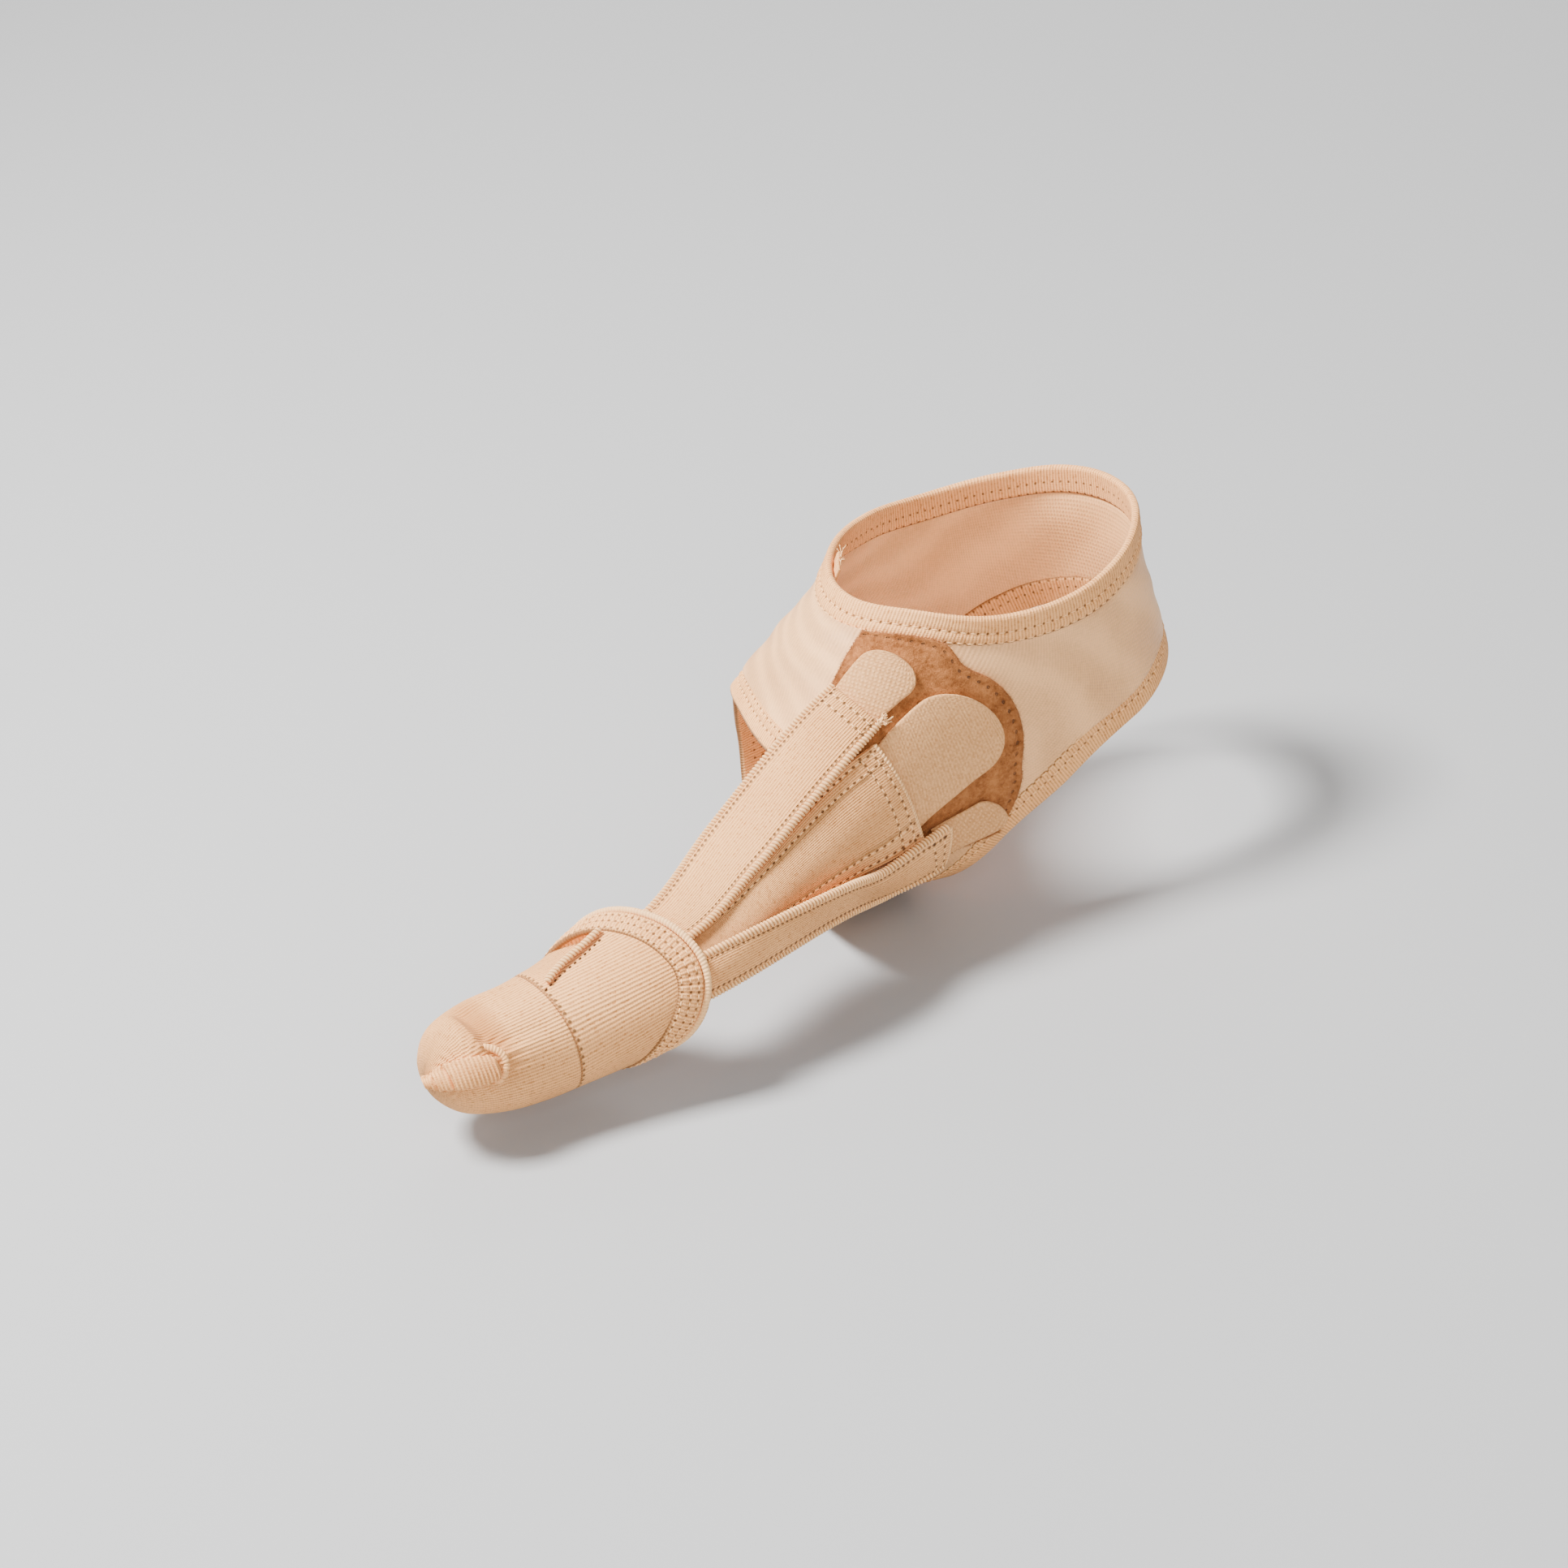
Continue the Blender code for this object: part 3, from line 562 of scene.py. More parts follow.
def stitches(name, lines, pitch=2.3 * MM, length=1.4 * MM, radius=0.20 * MM, start=1.0, dip=0.14 * MM):
    """Rows of stitches, one mesh. Each line is (points, outward directions, measures)."""
    shape, shape_faces = capsule()
    points, faces = [], []
    for line, normal, measure in lines:
        places = np.arange(measure[0] + start * pitch, measure[-1] - 0.3 * pitch, pitch)
        for place in places:
            middle = np.array([np.interp(place, measure, line[:, axis]) for axis in range(3)])
            ahead = np.array([np.interp(place + length / 2, measure, line[:, axis]) for axis in range(3)])
            behind = np.array([np.interp(place - length / 2, measure, line[:, axis]) for axis in range(3)])
            up = unit(np.array([np.interp(place, measure, normal[:, axis]) for axis in range(3)]))
            along = unit(ahead - behind)
            side = unit(np.cross(up, along))
            up = np.cross(along, side)
            arch = -dip * (2 * shape[:, 0])**2
            one = (middle + np.outer(shape[:, 0] * length, along) + np.outer(shape[:, 1] * radius, side)
                   + np.outer(shape[:, 2] * radius + arch, up))
            faces.append(shape_faces + sum(len(block) for block in points))
            points.append(one)
    points = np.vstack(points)
    faces = np.vstack(faces)
    measures = np.zeros((len(faces), 4, 2))
    print(f"{name}: {len(points) // len(shape)} stitches")
    return new_piece(name, points, faces.tolist(), [measures])


# %% [markdown]
# ## Arithmetic in a material
# A rib is a wave across the cloth, and a row of needle holes is a wave in two directions with a limit. In
# the shader editor each of these takes a dozen Math nodes. Here a small class wraps a socket, so that plain
# Python arithmetic on it adds the nodes.

# %% A number in a material
class Value:
    """A number that varies over a surface. Arithmetic on it adds Math nodes."""

    def __init__(self, finish, socket):
        self.finish = finish
        self.socket = socket

    def __add__(self, other):
        return self.finish.maths("ADD", self, other)

    def __sub__(self, other):
        return self.finish.maths("SUBTRACT", self, other)

    def __rsub__(self, other):
        return self.finish.maths("SUBTRACT", other, self)

    def __mul__(self, other):
        return self.finish.maths("MULTIPLY", self, other)

    def __truediv__(self, other):
        return self.finish.maths("DIVIDE", self, other)

    __radd__ = __add__
    __rmul__ = __mul__

    def wave(self, pitch):
        """1 on the crests and 0 in the valleys of a wave."""
        return self.finish.maths("COSINE", self * (2 * math.pi / pitch)) * 0.5 + 0.5

    def fraction(self):
        return self.finish.maths("FRACT", self)

    def limited(self):
        """Kept between 0 and 1."""
        return self.finish.maths("MINIMUM", self.finish.maths("MAXIMUM", self, 0.0), 1.0)

    def power(self, exponent):
        return self.finish.maths("POWER", self, exponent)


# %% A finish, built step by step
class Finish:
    """A material that is built up step by step."""

    def __init__(self, name, roughness=0.8, sheen=0.04, specular=0.25):
        self.material = bpy.data.materials.new(name)
        self.material.use_nodes = True
        self.tree = self.material.node_tree
        self.shader = self.tree.nodes["Principled BSDF"]
        self.put(self.shader.inputs["Roughness"], roughness)
        self.put(self.shader.inputs["Sheen Weight"], sheen)
        self.put(self.shader.inputs["Sheen Roughness"], 0.45)
        self.put(self.shader.inputs["Specular IOR Level"], specular)

    def put(self, socket, value):
        """Set a socket to a number or colour, or link it."""
        if isinstance(value, Value):
            self.tree.links.new(value.socket, socket)
        elif isinstance(value, bpy.types.NodeSocket):
            self.tree.links.new(value, socket)
        elif isinstance(value, tuple) and len(value) == 3 and socket.type == "RGBA":
            socket.default_value = (*value, 1.0)
        else:
            socket.default_value = value

    def node(self, kind, settings, values):
        """A node with its settings made first, then its sockets."""
        node = self.tree.nodes.new(kind)
        for key, setting in settings.items():
            setattr(node, key, setting)
        for key, value in values.items():
            self.put(node.inputs[key], value)
        return node

    def maths(self, operation, *values):
        node = self.node("ShaderNodeMath", {"operation": operation}, dict(enumerate(values)))
        return Value(self, node.outputs[0])

    def mix(self, share, low, high):
        """Colour between two colours."""
        node = self.node("ShaderNodeMix", {"data_type": "RGBA"}, {0: share, 6: low, 7: high})
        return node.outputs[2]

    def measures(self):
        """The cloth's own measures in metres: across it, and along it."""
        chart = self.node("ShaderNodeUVMap", {"uv_map": "cloth"}, {})
        parts = self.node("ShaderNodeSeparateXYZ", {}, {0: chart.outputs[0]})
        return Value(self, parts.outputs[0]), Value(self, parts.outputs[1])

    def noise(self, size, detail=2.0, roughness=0.5):
        """Soft noise from 0 to 1, with blotches of about a given size in metres."""
        place = self.node("ShaderNodeTexCoord", {}, {})
        node = self.node("ShaderNodeTexNoise", {}, {"Vector": place.outputs["Object"], "Scale": 0.6 / size,
                                                     "Detail": detail, "Roughness": roughness})
        return Value(self, node.outputs[0])

    def paint(self, colour):
        self.put(self.shader.inputs["Base Color"], colour)

    def raise_by(self, height, distance):
        """Bump: a height from 0 to 1, and what 1 stands for in metres."""
        bump = self.node("ShaderNodeBump", {}, {"Strength": 1.0, "Distance": distance, "Height": height})
        self.put(self.shader.inputs["Normal"], bump.outputs[0])


# %% Marks on a finish
def dots(across, along, row, pitch, radius):
    """1 in a row of small round dots, and 0 outside them."""
    beside = across - row
    beyond = ((along / pitch).fraction() - 0.5) * pitch
    return (1.25 - (beside * beside + beyond * beyond) * (1 / radius**2)).limited()


def band_of(across, row, half_width):
    """1 on a line across the cloth, falling to 0 at its half width."""
    beside = (across - row) * (1 / half_width)
    return (1.0 - beside * beside).limited()


# %% [markdown]
# ## The finishes
# The knit is a pale warm beige with a soft sheen. Its ribs run along the straps and the toe pocket, and
# across the bindings. The valleys between ribs are painted darker than their crests, as shade, and the
# needle holes of the seams are painted darker still, as the shade in them. The hook tape is greyer and
# speckled, and the felt is an orange brown with short fuzz. A picture of cloth could be mapped on the model
# instead, but drawn patterns stay sharp at any size.

# %% Colours
KNIT = (1.0, 0.50, 0.19)
# Knit in painted shade: rib valleys and the tip's fold, and the dark end of the knit's random tone
KNIT_SHADED = (0.52, 0.205, 0.055)
SATIN = (1.0, 0.53, 0.215)
SATIN_SHADE = (0.52, 0.23, 0.075)
TAPE = (0.56, 0.255, 0.09)
TAPE_SPECK = (0.82, 0.435, 0.18)
FELT = (0.20, 0.064, 0.017)
FELT_LIGHT = (0.48, 0.18, 0.055)
THREAD = (1.0, 0.58, 0.25)
THREAD_SHADE = (0.42, 0.165, 0.045)
# Painted shade in needle holes and along seam lines
SEAM_AND_HOLE_SHADE = (0.08, 0.03, 0.008)
# Painted shade in the felt's stitch dents
FELT_HOLE_SHADE = (0.12, 0.05, 0.02)


# %% Knit with ribs, and rows of needle holes
def ribbed(name, pitch=0.8 * MM, ribs_across=True, rows=(), seams=(), depth=0.16 * MM, tone=1.0,
           hole=0.36 * MM, hole_pitch=2.3 * MM, seam_share=0.75, painted_shades=()):
    """Ribbed knit. The ribs repeat across u or v, with painted shade in their valleys. A row of needle holes
    is an axis, a measure and maybe its own pitch, and a dark seam line is an axis and a measure; both are
    painted dark as shade. A painted shade is a middle and a half size along u, the same along v, and a
    strength."""
    finish = Finish(name, roughness=0.78)
    u, v = finish.measures()
    across, along = (u, v) if ribs_across else (v, u)
    wander = finish.noise(3 * MM, 1.0) * (0.25 * pitch)
    rib = (across + wander).wave(pitch)
    course = (along + rib * (0.2 * pitch)).wave(pitch * 0.62)
    blotch = finish.noise(14 * MM, 3.0)
    fuzz = finish.noise(0.5 * MM, 2.0, 0.7)
    speck = (finish.noise(0.55 * MM, 1.0) - 0.57) * 6 * (1.15 - rib)
    share = (rib * 0.62 + course * 0.2 + 0.2 + (blotch - 0.5) * 0.7 + (fuzz - 0.5) * 0.6
             - speck.limited() * 0.7).limited()
    # The valleys between ribs get painted shade
    valley_shade = tuple(tone * part for part in KNIT_SHADED)
    crest = tuple(tone * part for part in KNIT)
    colour = finish.mix(share, valley_shade, crest)
    height = rib * 0.75 + course * 0.25 + fuzz * 0.2
    # Each needle hole gets painted shade
    for axis, measure, *own_pitch in rows:
        beside, ahead = (u, v) if axis == "u" else (v, u)
        mark = dots(beside, ahead, measure, *(own_pitch or (hole_pitch,)), hole)
        colour = finish.mix(mark * 0.8, colour, SEAM_AND_HOLE_SHADE)
        height = height - mark * 1.6
    # Each seam line gets painted shade along its groove
    for axis, measure in seams:
        beside = u if axis == "u" else v
        mark = band_of(beside, measure, 0.55 * MM)
        colour = finish.mix(mark * seam_share, colour, SEAM_AND_HOLE_SHADE)
        height = height - mark * 1.2
    # Painted shade: patches of darker knit where a fold keeps light off
    for middle_u, half_u, middle_v, half_v, strength in painted_shades:
        patch = band_of(u, middle_u, half_u) * band_of(v, middle_v, half_v)
        colour = finish.mix(patch * strength, colour, KNIT_SHADED)
    finish.paint(colour)
    finish.raise_by(height, depth)
    return finish.material


# %% [markdown]
# ## Satin knit
# The ankle wrap is a finer knit than the straps, and its gloss lies over it in broad soft bands. Two waves
# at right angles make the loops of the knit, with painted shade between them, and a slow wave that noise
# bends makes the bands, which are painted highlights in the colour. The sheen setting alone would give an
# even rim of light, and real satin has an uneven one.

# %% Satin knit of the ankle wrap
def satin_knit(name):
    """Fine knit with soft blotches, painted shade in its loops and painted satin highlights in bands."""
    finish = Finish(name, specular=0.6)
    u, v = finish.measures()
    wander = finish.noise(5 * MM, 1.0) * (0.5 * MM)
    wale = (u + wander).wave(1.05 * MM)
    course = (v + wale * (0.25 * MM)).wave(0.75 * MM)
    blotch = finish.noise(20 * MM, 3.0)
    fuzz = finish.noise(0.6 * MM, 2.0, 0.7)
    warp = finish.noise(26 * MM, 2.0) * (36 * MM)
    # Painted highlight: broad bright bands of satin gloss in the colour
    painted_gleam = (u * 0.55 + v + warp).wave(21 * MM).power(1.5)
    loops = wale * 0.20 + course * 0.16
    share = (0.42 + loops + painted_gleam * 0.38 + (blotch - 0.5) * 0.9 + (fuzz - 0.5) * 0.5).limited()
    finish.paint(finish.mix(share, SATIN_SHADE, SATIN))
    finish.put(finish.shader.inputs["Roughness"], (blotch * 0.2 + 0.36))
    finish.raise_by(wale * 0.6 + course * 0.4 + fuzz * 0.3, 0.12 * MM)
    return finish.material


# %% [markdown]
# ## Hook tape
# The tabs are tape with rows of tiny plastic hooks. Seen from a metre away the hooks are a fine speckle, so
# two slanted waves make their rows and noise breaks them up. Modelled hooks would be a mesh many times the
# size of all the rest, and nobody could tell one from another.

# %% Hook tape
def hook_tape(name, woven=False):
    """Speckled tape with fine hooks; the broad tab shows woven lines too."""
    finish = Finish(name, roughness=0.9)
    u, v = finish.measures()
    hooks = (u + v * 0.5).wave(1.1 * MM) * (u * 0.5 - v).wave(1.1 * MM)
    speck = finish.noise(0.42 * MM, 2.0, 0.7)
    blotch = finish.noise(9 * MM, 2.0)
    lines = (u * 0.3 + v).wave(0.9 * MM) if woven else hooks
    marks = (hooks - 0.25) * 0.3 + (lines - 0.5) * 0.3
    share = (0.5 + (speck - 0.5) * 2.0 + marks + (blotch - 0.5) * 0.4).limited()
    finish.paint(finish.mix(share, TAPE, TAPE_SPECK))
    finish.raise_by(hooks * 0.4 + lines * 0.4 + speck * 0.8, 0.15 * MM)
    return finish.material


# %% [markdown]
# ## Felt
# The pad is brushed felt, a mat of short fibres with no threads. Noise in three sizes gives its clumps, and
# the sewn line is a row of small dents painted dark as shade. The loose fibres on it come later, as spikes of
# mesh.

# %% Felt
def felt(name, rows=()):
    """Fuzzy felt with a pressed line of stitches."""
    finish = Finish(name, roughness=0.95, specular=0.1)
    u, v = finish.measures()
    fuzz = finish.noise(0.8 * MM, 4.0, 0.8)
    clump = finish.noise(2.5 * MM, 3.0, 0.65)
    blotch = finish.noise(12 * MM, 2.0)
    share = (0.5 + (fuzz - 0.5) * 2.4 + (clump - 0.5) * 1.8 + (blotch - 0.5) * 0.7).limited()
    colour = finish.mix(share, FELT, FELT_LIGHT)
    height = fuzz * 1.0 + clump * 0.9
    for axis, measure in rows:
        beside, ahead = (u, v) if axis == "u" else (v, u)
        # The stitch dents get painted shade
        mark = dots(beside, ahead, measure, 2.4 * MM, 0.38 * MM)
        colour = finish.mix(mark * 0.55, colour, FELT_HOLE_SHADE)
        height = height - mark * 1.5
    finish.paint(colour)
    finish.raise_by(height, 0.55 * MM)
    return finish.material


# %% [markdown]
# ## Thread
# Overlock thread is wound round an edge in slanted turns. Each turn is painted light on its crest and dark
# where it meets the next one, as shade between the turns. The tube's own UV counts the turns, so the stripes
# fall on the ridges of the mesh.

# %% Thread of the overlocked edges and stitches
def thread(name, shade=0.95, light=THREAD):
    """Thread wound round a cord: each ridge is painted light on its crest and shaded where two loops meet."""
    finish = Finish(name, roughness=0.8)
    u, v = finish.measures()
    ridge = (u + v).wave(1.0)
    strand = (u * 3 + v * 3).wave(1.0)
    fuzz = finish.noise(0.6 * MM, 2.0, 0.7)
    blotch = finish.noise(5 * MM, 2.0)
    # Painted shade where two turns of thread meet
    share = (1.0 - shade + ridge.power(0.7) * shade + (fuzz - 0.5) * 0.5 + (blotch - 0.5) * 0.3).limited()
    finish.paint(finish.mix(share, THREAD_SHADE, light))
    finish.raise_by(ridge + strand * 0.3 + fuzz * 0.5, 0.12 * MM)
    return finish.material


SEWING_THREAD = thread("sewing_thread", shade=0.2)


# %% [markdown]
# ## What every piece needs
# Each piece gets its material, the body that it rides on, and the solid that it stands for. For a sheet of
# cloth, the script also prints how large it is when it lies flat. No flat pattern of this brace is known,
# so that size is measured along the middle of the modelled sheet.

# %% Dressing a piece
LEAST_SIDE = 0.0101
AREA_MARGIN = 1.0005


def dress(piece, finish, slot, *nodes):
    """Give a piece its material and its place in the assembly."""
    piece.data.materials.append(finish)
    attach(piece, "root")
    if nodes:
        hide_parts(*nodes)
    return piece


def as_cloth(piece, area=None):
    """Print the flat size and area that a sheet's middle face has."""
    data = SHEETS[piece.name]
    width = data["columns"][-1] - data["columns"][0]
    length = data["rows"][-1] - data["rows"][0]
    area = area or cloth_area(piece.name)
    grow = max(1.0, math.sqrt(area / (width * length)) * AREA_MARGIN)
    width, length = max(width * grow, LEAST_SIDE), max(length * grow, LEAST_SIDE)
    print(f"{piece.name}: cut {width / MM:.0f} x {length / MM:.0f} mm, {area * 1e4:.1f} cm2")


# %% [markdown]
# ## The ankle wrap
# The wrap is one knit tube with a heel opening cut from it. Its rows run from the front hem to the top
# binding, and its columns run round it. The knit isn't smooth: it has soft folds where it bends in front
# and above the heel opening. Each fold is a low ridge, and a table gives its place, its size and its height.
# Cloth simulation would find folds of its own, and not where this wrap has them.

# %% The wrap's folds
# Columns: station, angle, half length in mm, half width in mm, turn in degrees, height in mm
WRAP_FOLDS = (
    (4.20, 0.0, 15.0, 4.6, 6.0, 1.80),
    (5.45, 10.0, 9.0, 2.6, 25.0, 0.90),
    (5.35, -14.0, 10.0, 3.0, -20.0, 0.60),
    (4.75, -25.0, 15.0, 3.6, -8.0, 0.80),
    (4.00, -45.0, 16.0, 4.5, -12.0, 0.80),
    (8.35, 140.0, 13.0, 1.8, 4.0, 0.70),
    (8.75, 150.0, 12.0, 1.6, -3.0, 0.60),
    (7.95, 160.0, 12.0, 1.8, 6.0, 0.60),
    (7.30, 108.0, 18.0, 3.4, 22.0, 0.60),
    (6.75, 92.0, 15.0, 3.2, 32.0, 0.50),
    (5.00, 230.0, 20.0, 3.0, 60.0, 0.50),
    (6.20, 285.0, 20.0, 3.0, 40.0, 0.50),
)

# Millimetres of cloth in one station and in one degree
STATION_LENGTH = 11.0
DEGREE_LENGTH = 0.60


def folds(station, angle, table):
    """Height of a table of folds, in metres."""
    height = np.zeros(np.broadcast(station, angle).shape)
    for at, at_angle, half_length, half_width, turn, rise in table:
        ahead = (station - at) * STATION_LENGTH
        aside = ((angle - at_angle + 180) % 360 - 180) * DEGREE_LENGTH
        cosine, sine = math.cos(math.radians(turn)), math.sin(math.radians(turn))
        along = aside * cosine + ahead * sine
        across = ahead * cosine - aside * sine
        height += rise * MM * np.exp(-(along / half_length)**2 - (across / half_width)**2)
    return height


print("highest fold:", max(fold[-1] for fold in WRAP_FOLDS), "mm")

# %% [markdown]
# ## The heel opening
# The wrap is open below and behind. A plug follows the opening's line, a little inside the binding that
# will cover the cut, and a Boolean takes it away from the wrap. The exact solver is slower than the fast
# one, but it leaves no stray slivers along a long thin cut.

# %% The plug for the heel opening
TUCK = 1.0 * MM
PLUG_REACH = 8 * MM
PLUG_AIM = (0.11, 0.0, -0.11)


def heel_plug(distance, count):
    """Closed plug through the wrap, pointing down and back."""
    station, angle = heel_line(distance, count)
    inside = lifted("foot", station, angle, -PLUG_REACH)
    outside = lifted("foot", station, angle, PLUG_REACH)
    middle = inside.mean(0)
    points = np.vstack((inside, outside, middle, middle + np.array(PLUG_AIM)))
    one = np.arange(count)
    other = (one + 1) % count
    inner_end, outer_end = np.full(count, 2 * count), np.full(count, 2 * count + 1)
    corners = ((one, other, count + other), (one, count + other, count + one),
               (other, one, inner_end), (count + one, count + other, outer_end))
    faces = np.vstack([np.stack(three, -1) for three in corners])
    return new_piece("heel_plug", points, faces.tolist(), [np.zeros((len(faces), 3, 2))])


# %% The wrap
WRAP_COLUMNS = 264
WRAP_ROWS = 104


def make_wrap(columns, rows):
    angle = np.linspace(0, 360, columns, endpoint=False)
    front = shift("foot", around(FRONT_LINE, angle), angle, FRONT_HEM_WIDTH - TUCK)
    top = shift("foot", top_station(angle), angle, TUCK - TOP_BINDING_WIDTH)
    share = np.linspace(0, 1, rows)[:, None]
    station = front * (1 - share) + top * share
    base = lifted("foot", station, angle[None, :], 0.0)
    normal = outward("foot", station, angle[None, :])
    relief = folds(station, angle[None, :], WRAP_FOLDS)
    girth = reach_along(np.concatenate((base[rows // 2], base[rows // 2, :1])))
    length = reach_along(base[:, columns // 4])
    wrap = sheet("ankle_wrap_knit", base, normal, length, girth, WRAP_WALL, relief, loop=True,
                 lining=relief)
    dress(wrap, satin_knit("satin_knit"), "knit", "ankle_wrap")
    plug = heel_plug(HEEL_BINDING_WIDTH - TUCK, count=160)
    cut = wrap.modifiers.new("heel opening", "BOOLEAN")
    cut.solver = "EXACT"
    cut.object = plug
    bpy.context.view_layer.objects.active = wrap
    wrap.select_set(True)
    bpy.ops.object.modifier_apply(modifier=cut.name)
    wrap.select_set(False)
    bpy.data.objects.remove(plug)
    print("wrap:", len(wrap.data.polygons), "faces after the cut")
    as_cloth(wrap, area=sum(face.area for face in wrap.data.polygons) / 2)


make_wrap(WRAP_COLUMNS, WRAP_ROWS)

# %% [markdown]
# ## Bindings
# A binding is a folded strip sewn over a raw edge. It is thicker than the wrap and has round rims, fine
# ribs across it, and rows of stitches that pull it in. Each binding is a closed band, with a few rows
# across its width and many columns round the ring. A curve with a bevel would be quicker, but its section
# couldn't be pressed in along the stitches. Here each row of stitches presses a groove, and modelled
# stitches lie in it.

# %% A band round a ring
PUCKER_RISE = 0.14 * MM
PUCKER_REACH = 1.4 * MM


def binding_lift():
    """Inner face of a folded binding, whose wall straddles the cloth that it holds."""
    return (WRAP_WALL - BINDING_WALL) / 2


def groove(rows, grooves, depth=0.35 * MM, half_width=0.65 * MM):
    """Pressed lines along a band, as a height for each row."""
    height = np.zeros(len(rows))
    for place in grooves:
        height -= depth * np.exp(-((rows - place) / half_width)**2)
    return height


def puckers(rows, columns, grooves, pitch):
    """Small bulges between stitches, beside each pressed line."""
    wave = np.cos(2 * math.pi * columns / pitch)
    height = np.zeros((len(rows), len(columns)))
    for place in grooves:
        height += PUCKER_RISE * np.exp(-((rows - place) / PUCKER_REACH)**2)[:, None] * wave[None, :]
    return height


def band(name, form, line, width, wall, lift, grooves, pitch=2.4 * MM):
    """Band whose rows come from line(share of its width), with stitch grooves at measures across it. Gives
    the piece, and the stitch pitch that fits the ring."""
    share = spread(width, 0.55 * MM, wall / 2)
    station, angle = (np.array(part) for part in zip(*[line(one) for one in share]))
    base = lifted(form, station, angle, lift)
    normal = outward(form, station, angle)
    middle = len(share) // 2
    girth = reach_along(np.concatenate((base[middle], base[middle, :1])))
    rows = share * width
    pitch = girth[-1] / round(girth[-1] / pitch)
    press = groove(rows, grooves)[:, None] + puckers(rows, girth[:-1], grooves, pitch)
    return sheet(name, base, normal, rows, girth, wall, press, loop=True), pitch


# %% Top binding, front hem and heel binding
BAND_COLUMNS = 300
STITCH_SHARE = 0.62
BAND_STITCH_RADIUS = 0.18 * MM
TOP_GROOVES = (0.7 * MM, 3.6 * MM)
FRONT_GROOVES = (4.0 * MM, 6.3 * MM)
HEEL_GROOVES = (0.8 * MM, 3.3 * MM)


def make_bindings():
    angle = np.linspace(0, 360, BAND_COLUMNS, endpoint=False)
    top = top_station(angle)
    low = shift("foot", top, angle, -TOP_BINDING_WIDTH)
    front = around(FRONT_LINE, angle)
    back = shift("foot", front, angle, FRONT_HEM_WIDTH)

    def top_band(share):
        return low + (top - low) * share, angle

    def front_band(share):
        return front + (back - front) * share, angle

    def heel_band(share):
        return heel_line((1 - share) * HEEL_BINDING_WIDTH, BAND_COLUMNS)

    for name, node, line, width, grooves in (
            ("top_binding_band", "top_binding", top_band, TOP_BINDING_WIDTH, TOP_GROOVES),
            ("front_hem_band", "front_hem", front_band, FRONT_HEM_WIDTH, FRONT_GROOVES),
            ("heel_binding_band", "heel_binding", heel_band, HEEL_BINDING_WIDTH, HEEL_GROOVES)):
        piece, pitch = band(name, "foot", line, width, BINDING_WALL, binding_lift(), grooves)
        seams = (("v", 0.15 * MM),)
        finish = ribbed(node + "_knit", pitch=0.85 * MM, rows=[("v", place) for place in grooves],
                        hole_pitch=pitch, seams=seams, depth=0.14 * MM, tone=1.03)
        as_cloth(dress(piece, finish, "binding", node))
        lines = [line_on(name, row=place) for place in grooves]
        sewn = stitches(node + "_stitches", lines, pitch=pitch, length=STITCH_SHARE * pitch, start=0.0,
                        radius=BAND_STITCH_RADIUS)
        dress(sewn, SEWING_THREAD, "overlock")


make_bindings()

# %% [markdown]
# ## The binding's loose end
# Where the top binding closes, its end hangs inside the front of the wrap with frayed threads. It is a
# short length of the same kind of band, on the inner side, and a tuft of thin bent tubes. The tubes bend by
# sines of their number, so that the tuft is uneven and yet the same each time.

# %% Loose end of the top binding
BINDING_END_FROM = -22.0
BINDING_END_TO = -10.0
BINDING_END_ABOVE = 1.5 * MM
BINDING_END_WIDTH = 8.5 * MM
BINDING_END_WALL = 1.0 * MM


def fray(name, starts, direction, length, count, spread_out, radius=0.13 * MM):
    """Tuft of loose thread ends, each a thin bent tube."""
    pieces = []
    for number in range(count):
        start = starts[number % len(starts)]
        bend = np.array((math.sin(2.4 * number), math.cos(1.7 * number), math.sin(1.1 * number + 1)))
        reach = length * (0.6 + 0.4 * math.sin(3.1 * number)**2)
        share = np.linspace(0, 1, 7)[:, None]
        line = start + direction * reach * share + bend * spread_out * share**2
        facing = np.repeat([[0.3, -0.5, 0.8]], 7, axis=0)
        pieces.append(tube(f"{name}_{number}", line, facing, radius, step=0.6 * MM, sides=5))
    for piece in pieces:
        piece.select_set(True)
    bpy.context.view_layer.objects.active = pieces[0]
    bpy.ops.object.join()
    tuft = bpy.context.view_layer.objects.active
    tuft.select_set(False)
    tuft.name = name
    return tuft


def make_binding_end():
    columns = 26
    angle = np.linspace(BINDING_END_FROM, BINDING_END_TO, columns)
    top = shift("foot", top_station(angle), angle, BINDING_END_ABOVE)
    low = shift("foot", top, angle, -BINDING_END_WIDTH)
    share = spread(BINDING_END_WIDTH, 0.6 * MM, BINDING_END_WALL / 2)
    station = low + (top - low) * share[:, None]
    lift = binding_lift() - GAP - BINDING_END_WALL
    base = lifted("foot", station, angle[None, :], lift)
    across = reach_along(base[0])
    normal = outward("foot", station, angle[None, :])
    wrinkles = 0.1 * MM * np.sin(across / (0.6 * MM))[None, :]
    piece = sheet("binding_end_fold", base, normal, share * BINDING_END_WIDTH, across, BINDING_END_WALL,
                  wrinkles)
    as_cloth(dress(piece, ribbed("binding_end_knit", depth=0.12 * MM), "overlock", "binding_end"))
    starts = base[-2, 4:-4:3]
    tuft = fray("binding_end_fray", starts, np.array((0.35, 0.15, 0.9)), 2.6 * MM, 10, 1.0 * MM)
    dress(tuft, SEWING_THREAD, "overlock")


make_binding_end()

# %% [markdown]
# ## The felt pad
# The pad is cut with round corners and sewn on with one line of stitches near its rear edge. Its outline
# comes from a short table, read smoothly so that the corners are round. A flat sheet could be shrinkwrapped
# on to the wrap instead, but laying its grid out along the form keeps its rows even.

# %% Felt pad
PAD_SEAM = 2.2 * MM


